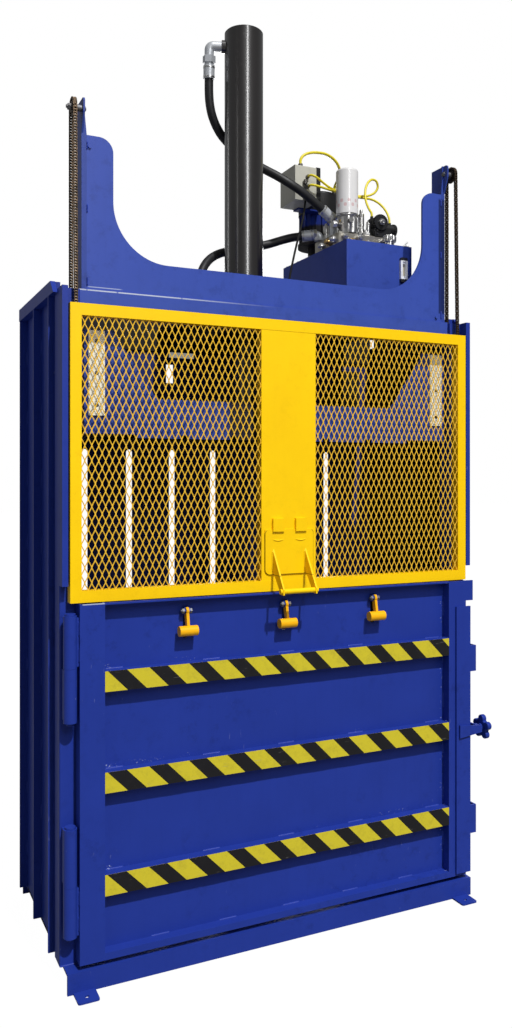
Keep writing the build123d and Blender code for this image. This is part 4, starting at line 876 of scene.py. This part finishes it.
def chain_pins(wheel, radius, s):
    """Pins of the front strand, from the gate's lug straight up to the sprocket, and of the rest,
    round the sprocket in equal steps of its tooth angle and straight down behind it."""
    rise = wheel[2] - s.foot_z
    count = round(rise / s.pitch)
    t = np.linspace(0, 1, count + 1)
    y_top = wheel[1] - radius
    front = np.stack([np.full(count + 1, wheel[0]), s.lug_y + (y_top - s.lug_y) * t,
                      s.foot_z + rise * t], -1)
    steps = s.teeth // 2 + 1
    angle = np.pi * (1 - np.linspace(0, 1, steps + 1))
    over = np.stack([np.full(steps + 1, wheel[0]), wheel[1] + radius * np.cos(angle),
                     wheel[2] + radius * np.sin(angle)], -1)
    clearance = 0.004
    fall = wheel[2] - corners("right_counterweight")[1][2] - clearance
    number = round(fall / s.pitch)
    down = np.stack([np.full(number, wheel[0]), np.full(number, wheel[1] + radius),
                     wheel[2] - fall * np.arange(1, number + 1) / number], -1)
    return front, np.concatenate([over, down])


def chain_shells(pins, phase, s):
    """Two plates a link, wide and narrow in turn, with a roller and a pin at each joint."""
    play, pin_end = 0.0001, 0.0006
    joints = np.stack([pins[:-1], pins[1:]], axis=1)
    side = np.array([1.0, 0.0, 0.0])
    narrow = (np.arange(len(joints)) + phase) % 2 == 0
    inner = s.inner_gap / 2
    shells = []
    for chosen, gap in ((narrow, inner), (~narrow, inner + s.plate_thickness + play)):
        for low in (gap, -gap - s.plate_thickness):
            shells.append(plate_links(joints[chosen], side, low, s.plate_height, s.plate_waist,
                                      s.plate_thickness))
    half = inner + 2 * s.plate_thickness + pin_end
    for radius, reach, sides in ((s.roller / 2, inner - play, 8), (s.pin / 2, half, 6)):
        angle = angles(sides)
        ring = np.stack([np.zeros(sides), np.cos(angle), np.sin(angle)], -1) * radius
        ends = np.array([-reach, reach])[:, None, None] * side
        shells.append(closed_tubes(pins[:, None, None] + (ring[None] + ends)[None]))
    return shells


class BALER_OT_weld_beads(bpy.types.Operator):
    """Lay fillet welds where the plates and rails meet"""
    bl_idname = "baler.weld_beads"
    bl_label = "Weld beads"

    def execute(self, context):
        s = context.scene.baler_weld
        for name, body, slot, finish, runs in weld_runs():
            shells = [bead(*run, s.leg, s.ripple, s.relief) for run in runs]
            piece(name, shells, finish, body, slot, 60)
        return {"FINISHED"}


def stitches(line, spans, face_a, face_b):
    """Runs on one line: line(t) is the place at t, and each span is a start and an end."""
    return [(line(a), line(b), face_a, face_b) for a, b in spans]


def even_spans(low, high, count, reach):
    step = (high - low) / count
    starts = low + step * (np.arange(count) + 0.5) - reach / 2
    return [(a, a + reach) for a in starts]


X, Y, Z = np.eye(3)
HANDLE_FACE = -0.383


def weld_runs():
    """Each group of welds: its name, body, slot, finish and runs."""
    left, right = STILES
    skin, front, end_gap, foot_top = -0.355, -0.395, 0.004, 0.113
    hinge_x, hinge_y, hinge_spans = -0.784, -0.385, ((1.069, 1.243), (0.182, 0.350))
    stiles = ((left, X), (right, -X))
    over_rail = [(left + 0.01, left + 0.075), (right - 0.09, right - 0.02)]
    over_rail += even_spans(-0.45, 0.45, 3, 0.07)
    door = []
    for z in RAIL_TOPS:
        door += stitches(lambda t, z=z: (t, skin, z), over_rail, -Y, Z)
        door += [((x, skin - end_gap, z), (x, front + end_gap, z), away, Z) for x, away in stiles]
    for x, away in stiles:
        door += stitches(lambda t, x=x: (x, skin, t), even_spans(0.14, 1.26, 6, 0.06), away, -Y)
    door += stitches(lambda t: (t, skin, foot_top), even_spans(-0.62, 0.66, 5, 0.07), -Y, Z)
    for low, high in hinge_spans:
        door += stitches(lambda t: (hinge_x, hinge_y, t), even_spans(low, high, 2, 0.05), -X, -Y)

    ear_outer, ear_front = 0.740, -0.312
    ear_spans = [(2.352, 2.385), (2.60, 2.63), (2.815, 2.845)]
    wall_outer, rib_places, half_rib = 0.824, (-0.231, 0.025, 0.299), 0.004
    post_inner, post_outer, post_front, post_rear = 0.768, 0.838, -0.335, -0.259
    post_foot, tank_foot, tank_sides = 0.070, 2.368, ((0.359, -X), (0.679, X))
    low, high = 0.10, 2.30
    body = []
    for hand in (-1, 1):
        body += stitches(lambda t, x=ear_outer * hand: (x, ear_front, t), ear_spans, -X * hand, -Y)
        for y in rib_places:
            for side in (-1, 1):
                body += stitches(lambda t, x=wall_outer * hand, y=y + half_rib * side: (x, y, t),
                                 even_spans(low, high, 9, 0.05), X * hand, Y * side)
        outer = post_outer * hand
        body += stitches(lambda t, x=outer: (x, post_rear, t), even_spans(low, high, 7, 0.05),
                         X * hand, Y)
        body.append(((post_inner * hand, post_front, post_foot), (outer, post_front, post_foot),
                     -Y, Z))
    for x, away in tank_sides:
        body += stitches(lambda t, x=x: (x, t, tank_foot), even_spans(-0.15, 0.33, 4, 0.05),
                         away, -Z)

    gusset, half_thickness, gusset_low, gusset_high = 0.0665, 0.003, 1.362, 1.432
    gate = []
    for hand in (-1, 1):
        for side in (-1, 1):
            x = gusset * hand + half_thickness * side
            gate.append(((x, HANDLE_FACE, gusset_low), (x, HANDLE_FACE, gusset_high), X * side, -Y))
    return [
        ("door_welds", "door", "blue_paint", "blue_door", door),
        ("frame_welds", "frame", "blue_paint", "blue_enamel", body),
        ("handle_welds", "gate", "yellow_paint", "yellow_enamel", gate),
    ]


class BALER_OT_handle_lips(bpy.types.Operator):
    """Press the two curved lips under the handle's pads"""
    bl_idname = "baler.handle_lips"
    bl_label = "Handle lips"

    def execute(self, context):
        pad_x, lip_z = 0.0465, 1.4745
        shells = [lip(x, HANDLE_FACE, lip_z) for x in (-pad_x, pad_x)]
        piece("handle_lips", shells, "yellow_enamel", "gate", "yellow_paint", 50)
        return {"FINISHED"}


def lip(middle_x, face, height):
    """A round ridge, half sunk in the face, along a shallow arc: its middle sags by a parabola,
    and it thins to both ends with the square root of that parabola."""
    half_length, sag, thickness, around = 0.024, 0.0055, 0.0028, 12
    t = np.linspace(-1, 1, 25)
    arch = 1 - t * t
    size = thickness * np.sqrt(np.maximum(arch, 0.02))[:, None]
    angle = angles(around)
    x = np.repeat((middle_x + half_length * t)[:, None], around, 1)
    z = (height - sag * arch)[:, None] + size * np.sin(angle)
    return closed_tubes(np.stack([x, face - size * np.cos(angle), z], -1))


class BALER_OT_power_unit(bpy.types.Operator):
    """Add nuts, crimp bands, coil rings, plugs and screws to the power unit"""
    bl_idname = "baler.power_unit"
    bl_label = "Power unit fittings"

    def execute(self, context):
        s = context.scene.baler_fittings
        bright = lid_screws(s) + filter_trim() + hose_ends(s)
        steel, brass, black, dark = manifold_parts()
        piece("unit_bright_fittings", bright + steel, "bright_steel", "frame", "zinc_steel", 32)
        piece("unit_dark_fittings", dark, "fitting_dark", "frame", "fitting_black", 32)
        piece("valve_coils", black, "black_plastic", "frame", "black_part", 32)
        piece("brass_plugs", brass, "brass", "frame", "zinc_steel", 32)
        return {"FINISHED"}


def lid_screws(s):
    """Washers and hexagon screws in one row round the lid's rim."""
    low, high = corners("tank_lid")
    inset, washer_radius, washer_height, head_height = 0.016, 0.0095, 0.0014, 0.006
    washer = [(0, washer_radius), (washer_height, washer_radius)]
    xs = np.linspace(low[0] + inset, high[0] - inset, 4)
    ys = np.linspace(low[1] + inset, high[1] - inset, 6)
    spots = [(x, y) for x in xs for y in (ys[0], ys[-1])]
    spots += [(x, y) for x in (xs[0], xs[-1]) for y in ys[1:-1]]
    shells = []
    for x, y in spots:
        shells.append(turned(washer, (x, y, high[2]), Z, 20))
        shells.append(nut((x, y, high[2] + washer_height), Z, s.screw, head_height))
    return shells


def filter_trim():
    """The canister's rolled rim, the head's fluted skirt and plug, and the breather's knurled ring."""
    low, high = corners("filter_canister")
    x, y, _ = middle("filter_canister")
    rim = (high[0] - low[0]) / 2
    profile = [(0, rim * 0.90), (0.003, rim * 0.99), (0.007, rim * 0.99), (0.010, rim * 0.93)]
    foot, head_top = (corner[2] for corner in corners("filter_head"))
    cap_x, cap_y, _ = middle("breather_cap")
    cap_top = corners("breather_cap")[1][2]
    return [turned(profile, (x, y, low[2] - 0.0103), Z, 48),
            fluted((x, y, foot + 0.003), Z, rim * 0.96, 0.068, 8, 0.007),
            nut((x - 0.012, y - 0.043, head_top - 0.034), -Y, 0.022, 0.012),
            fluted((cap_x, cap_y, cap_top - 0.0262), Z, 0.0292, 0.021, 24, 0.0024)]


def hose_ends(s):
    """Crimp bands on the four sleeves: rings that stand out of each sleeve by the band height,
    and a hexagon nut on the two sleeves at the manifold. Each sleeve is its start and its way."""
    sleeves = (((-0.1280, 0.0900, 3.3400), (-0.044, -0.132, 0.990), False),
               ((-0.1750, 0.0850, 2.5000), (-0.333, -0.244, -0.911), False),
               ((0.3720, 0.0310, 2.8520), (0.829, 0.016, -0.558), True),
               ((0.3300, 0.1350, 2.7570), (0.871, -0.482, 0.092), True))
    sleeve_radius, band_places, nut_place, nut_height = 0.023, (0.002, 0.040), 0.050, 0.016
    sunk, proud = sleeve_radius * 0.99, sleeve_radius + s.band
    rim = [(0, sunk), (0.001, proud), (0.0065, proud), (0.0075, sunk)]
    shells = []
    for start, way, with_nut in sleeves:
        start, way = np.array(start), np.array(way) / np.linalg.norm(way)
        shells += [turned(rim, start + way * place, way, 40) for place in band_places]
        if with_nut:
            shells.append(nut(start + way * nut_place, way, s.nut, nut_height))
    return shells


def plug(centre, axis, across, height):
    """A hexagon plug: its head and the short round spigot on top of it."""
    centre, axis = np.asarray(centre, float), np.asarray(axis, float)
    return [nut(centre, axis, across, height),
            stud(centre + axis * height, axis, across * 0.34, height * 0.5, height * 0.7,
                 across * 0.24, 20)]


def cartridge(x, y, foot, across, rise):
    """A valve cartridge: a hexagon, a round body with a groove, a smaller hexagon and its spindle,
    all on one axis, as high as the rise."""
    r = across * 0.42
    body = [(0, r), (0.30, r), (0.32, r * 0.86), (0.38, r * 0.86), (0.40, r), (0.72, r), (0.75, r * 0.7)]
    spindle = [(0, r * 0.42), (0.16, r * 0.42), (0.18, r * 0.30)]
    at = np.array([x, y, foot])
    return [nut(at, Z, across, 0.16 * rise), turned(np.array(body) * (rise, 1), at, Z, 24),
            nut(at + (0, 0, 0.74 * rise), Z, across * 0.72, 0.10 * rise),
            turned(np.array(spindle) * (rise, 1), at + (0, 0, 0.82 * rise), Z, 16)]


def manifold_parts():
    """The crowd of plugs, cartridges, unions and coil rings on and round the manifold, as lists
    of steel, brass, black and dark shells."""
    low, high = corners("valve_manifold")
    top, front, left = high[2], low[1], low[0]
    steel, brass, black, dark = [], [], [], []
    for x, y, across, height in ((0.540, -0.052, 0.027, 0.016), (0.540, -0.005, 0.024, 0.030),
                                 (0.548, 0.050, 0.030, 0.020), (0.500, 0.095, 0.026, 0.026),
                                 (0.560, 0.100, 0.030, 0.016), (0.615, 0.055, 0.024, 0.022),
                                 (0.630, 0.100, 0.027, 0.034), (0.470, 0.060, 0.022, 0.018)):
        steel += plug((x, y, top), Z, across, height)
    for x, y, across, rise in ((0.532, -0.030, 0.028, 0.120), (0.560, 0.020, 0.032, 0.135),
                               (0.512, 0.040, 0.026, 0.100), (0.588, 0.075, 0.028, 0.085),
                               (0.420, 0.080, 0.030, 0.075), (0.548, -0.058, 0.022, 0.064)):
        steel += cartridge(x, y, top, across, rise)
    for made_of, x, z, across in ((steel, 0.420, 2.716, 0.026), (brass, 0.455, 2.698, 0.024),
                                  (steel, 0.492, 2.716, 0.030), (brass, 0.530, 2.696, 0.024),
                                  (steel, 0.612, 2.716, 0.022)):
        made_of.extend(plug((x, front, z), -Y, across, 0.013))
    for made_of, y, z, across in ((steel, -0.045, 2.706, 0.026), (brass, -0.005, 2.704, 0.030),
                                  (steel, 0.055, 2.700, 0.026)):
        made_of.extend(plug((left, y, z), -X, across, 0.016))
    for x, y in ((0.404, -0.058), (0.404, 0.112), (0.643, -0.062), (0.643, 0.112)):
        dark.append(stud((x, y, top), Z, 0.0065, 0.007, 0.008, 0.0055))
    tee = np.array([0.424, -0.046, top])
    dark.append(stud(tee, Z, 0.013, 0.046, 0.048, 0.011))
    dark.append(stud(tee + (-0.030, 0, 0.034), X, 0.012, 0.060, 0.062, 0.010))
    steel.append(nut(tee + (-0.046, 0, 0.034), X, 0.028, 0.017))
    brass.append(nut(tee + (0.028, 0, 0.034), X, 0.026, 0.014))
    brass += plug(tee + (0, 0, 0.047), Z, 0.020, 0.012)
    valve = corners("solenoid_valve")
    coil = np.array([0.598, valve[0][1], 2.795])
    black.append(fluted(coil - (0, 0.009, 0), Y, 0.0355, 0.016, 22, 0.0030, 110))
    black.append(fluted(coil + (0, 0.052, 0), Y, 0.0340, 0.012, 22, 0.0020, 110))
    steel.append(nut(coil - (0, 0.009, 0), -Y, 0.026, 0.008))
    steel.append(stud(coil - (0, 0.017, 0), -Y, 0.0075, 0.010, 0.012, 0.0055))
    side = np.array([valve[1][0], (valve[0][1] + valve[1][1]) / 2, 2.776])
    black.append(fluted(side - (0.006, 0, 0), X, 0.0300, 0.013, 20, 0.0026, 100))
    steel.append(nut(side + (0.007, 0, 0), X, 0.024, 0.008))
    for y in (-0.020, 0.020):
        steel.append(nut((0.640, side[1] + y, 2.772), Z, 0.010, 0.006))
    for z in (2.746, 2.760):
        screw = (0.582, valve[0][1] + 0.0001, z)
        dark.append(stud(screw, -Y, 0.004, 0.004, 0.005, 0.003, 16))
    lid = corners("tank_lid")[1]
    stick = np.array([lid[0] - 0.026, lid[1] - 0.540, lid[2]])
    ring_way = (0.70, -0.1, 0.70)
    steel.append(stud(stick, Z, 0.009, 0.006, 0.008, 0.006))
    steel.append(stud(stick + (0, 0, 0.006), ring_way, 0.0030, 0.030, 0.031, 0.0022, 14))
    return steel, brass, black, dark


class BALER_OT_labels(bpy.types.Operator):
    """Add the blank label plate behind the gate and the screws of the wear strips"""
    bl_idname = "baler.labels"
    bl_label = "Labels and screws"

    def execute(self, context):
        label_low, label_high, bevel = (-0.207, 0.3547, 2.2225), (-0.092, 0.3569, 2.2545), 0.0006
        plate = box_shell(label_low, label_high, bevel)
        piece("blank_label", [plate], "blank_label", "frame", "box_grey", 30)
        low, high = corners("platen_wear_strips")
        inset_x, inset_z, across = 0.0285, 0.035, 0.0125
        profile = [(0, 0.0075), (0.0006, 0.0075), (0.0012, 0.0060)]
        screws = [turned(profile, (x, low[1], z), -Y, 20, 6, across)
                  for x in (low[0] + inset_x, high[0] - inset_x)
                  for z in (low[2] + inset_z, (low[2] + high[2]) / 2, high[2] - inset_z)]
        piece("wear_strip_screws", screws, "fitting_dark", "press", "zinc_steel", 30)
        crosshead_face = -0.3120
        bolts = [nut((0.714, crosshead_face, 2.358), -Y, 0.011, 0.006),
                 nut((-0.7300, crosshead_face, 2.826), -Y, 0.010, 0.005)]
        piece("crosshead_screws", bolts, "blue_crosshead", "frame", "blue_paint", 30)
        return {"FINISHED"}


class BALER_OT_stage(bpy.types.Operator):
    """Set the floor, the lamps, the white surround and the camera"""
    bl_idname = "baler.stage"
    bl_label = "Stage"

    def execute(self, context):
        s = context.scene.baler_stage
        scene = context.scene
        scene.view_settings.view_transform = "Standard"
        camera = bpy.data.cameras.new("camera")
        camera.lens = s.lens
        camera.shift_y = s.shift
        camera.clip_start, camera.clip_end = 0.05, 200
        holder = bpy.data.objects.new("camera", camera)
        holder.location = s.place
        holder.rotation_euler = (math.pi / 2, 0, -s.heading)
        scene.collection.objects.link(holder)
        scene.camera = holder
        lamp("key_lamp", (0.7, -5.8, 8.1), 0.0, s.key)
        lamp("front_strip", (-0.15, -5.0, 4.7), 3.0, s.strip, (0.65, 2.8))
        lamp("left_strip", (-4.4, -2.2, 3.4), 2.0, s.left, (0.20, 3.4))
        lamp("rear_strip", (-3.8, 3.4, 3.4), 2.0, s.rear, (0.30, 3.4))
        lamp("back_lamp", (2.8, 5.0, 3.6), 1.6, s.back, (2.4,))
        self.surround(scene, s)
        self.floor()
        return {"FINISHED"}

    def surround(self, scene, s):
        """The world lights the object at its own strength, and the camera sees white."""
        world = Finish("surround", bpy.data.worlds)
        camera_ray = world.add("ShaderNodeLightPath", output="Is Camera Ray")
        soft = world.add("ShaderNodeBackground", {}, {"Color": (0.96, 0.98, 1.0), "Strength": s.room})
        white = world.add("ShaderNodeBackground", {}, {"Color": (1, 1, 1)})
        seen = world.add("ShaderNodeMixShader", {}, {0: camera_ray, 1: soft, 2: white})
        scene.world = world.end(seen, "ShaderNodeOutputWorld")

    def floor(self):
        """A pale floor that the camera sees near white, with a faint shadow left on it."""
        size, drop = 40.0, 0.0005
        mesh = bpy.data.meshes.new("floor_plane")
        mesh.from_pydata([(-size, -size, 0), (size, -size, 0), (size, size, 0), (-size, size, 0)],
                         [], [(0, 1, 2, 3)])
        f = Finish("pale_floor")
        ray = f.add("ShaderNodeLightPath", output="Is Camera Ray")
        matte = f.add("ShaderNodeBsdfDiffuse", {}, {"Color": (0.22, 0.22, 0.22)})
        glow = f.add("ShaderNodeEmission", {}, {"Color": (1, 1, 1), "Strength": 1.07})
        seen = f.add("ShaderNodeMixShader", {}, {0: ray * 0.93, 1: matte, 2: glow})
        mesh.materials.append(f.end(seen))
        plane = bpy.data.objects.new("pale_floor", mesh)
        plane.location.z = -drop
        bpy.context.scene.collection.objects.link(plane)


def lamp(name, place, target_z, power, sizes=None):
    """A lamp aimed at a height on the machine's middle line: a sun without sizes, a disk with one
    size and a strip with a width and a height."""
    light = bpy.data.lights.new(name, "AREA" if sizes else "SUN")
    light.energy = power
    if sizes:
        light.shape = "RECTANGLE" if len(sizes) == 2 else "DISK"
        light.size, light.size_y = sizes[0], sizes[-1]
    else:
        light.angle = math.radians(1.6)
    holder = bpy.data.objects.new(name, light)
    holder.location = place
    aim = Vector((0.0, 0.0, target_z)) - Vector(place)
    holder.rotation_euler = aim.to_track_quat("-Z", "Y").to_euler()
    bpy.context.scene.collection.objects.link(holder)
    holder.visible_camera = False


class BALER_PT_sidebar(bpy.types.Panel):
    """Lists the baler's steps and sizes"""
    bl_idname = "BALER_PT_sidebar"
    bl_label = "Baler"
    bl_space_type = "VIEW_3D"
    bl_region_type = "UI"
    bl_category = "Baler"

    def draw(self, context):
        for step in STEPS:
            self.layout.operator(step.bl_idname)
        for name, group in GROUPS.items():
            box = self.layout.box()
            box.label(text=group.__name__)
            for key in group.__annotations__:
                box.prop(getattr(context.scene, name), key)


STEPS = (BALER_OT_stage, BALER_OT_paint, BALER_OT_expanded_metal, BALER_OT_lift_chains,
         BALER_OT_weld_beads, BALER_OT_handle_lips, BALER_OT_power_unit, BALER_OT_labels)
CLASSES = (*GROUPS.values(), *STEPS, BALER_PT_sidebar)


def register():
    for kind in CLASSES:
        bpy.utils.register_class(kind)
    for name, group in GROUPS.items():
        setattr(bpy.types.Scene, name, PointerProperty(type=group))


def unregister():
    for name in GROUPS:
        delattr(bpy.types.Scene, name)
    for kind in reversed(CLASSES):
        bpy.utils.unregister_class(kind)


def main():
    register()
    for step in STEPS:
        group, call = step.bl_idname.split(".")
        if getattr(getattr(bpy.ops, group), call)() != {"FINISHED"}:
            raise RuntimeError(step.bl_label + " did not finish")


if __name__ == "__main__":
    main()
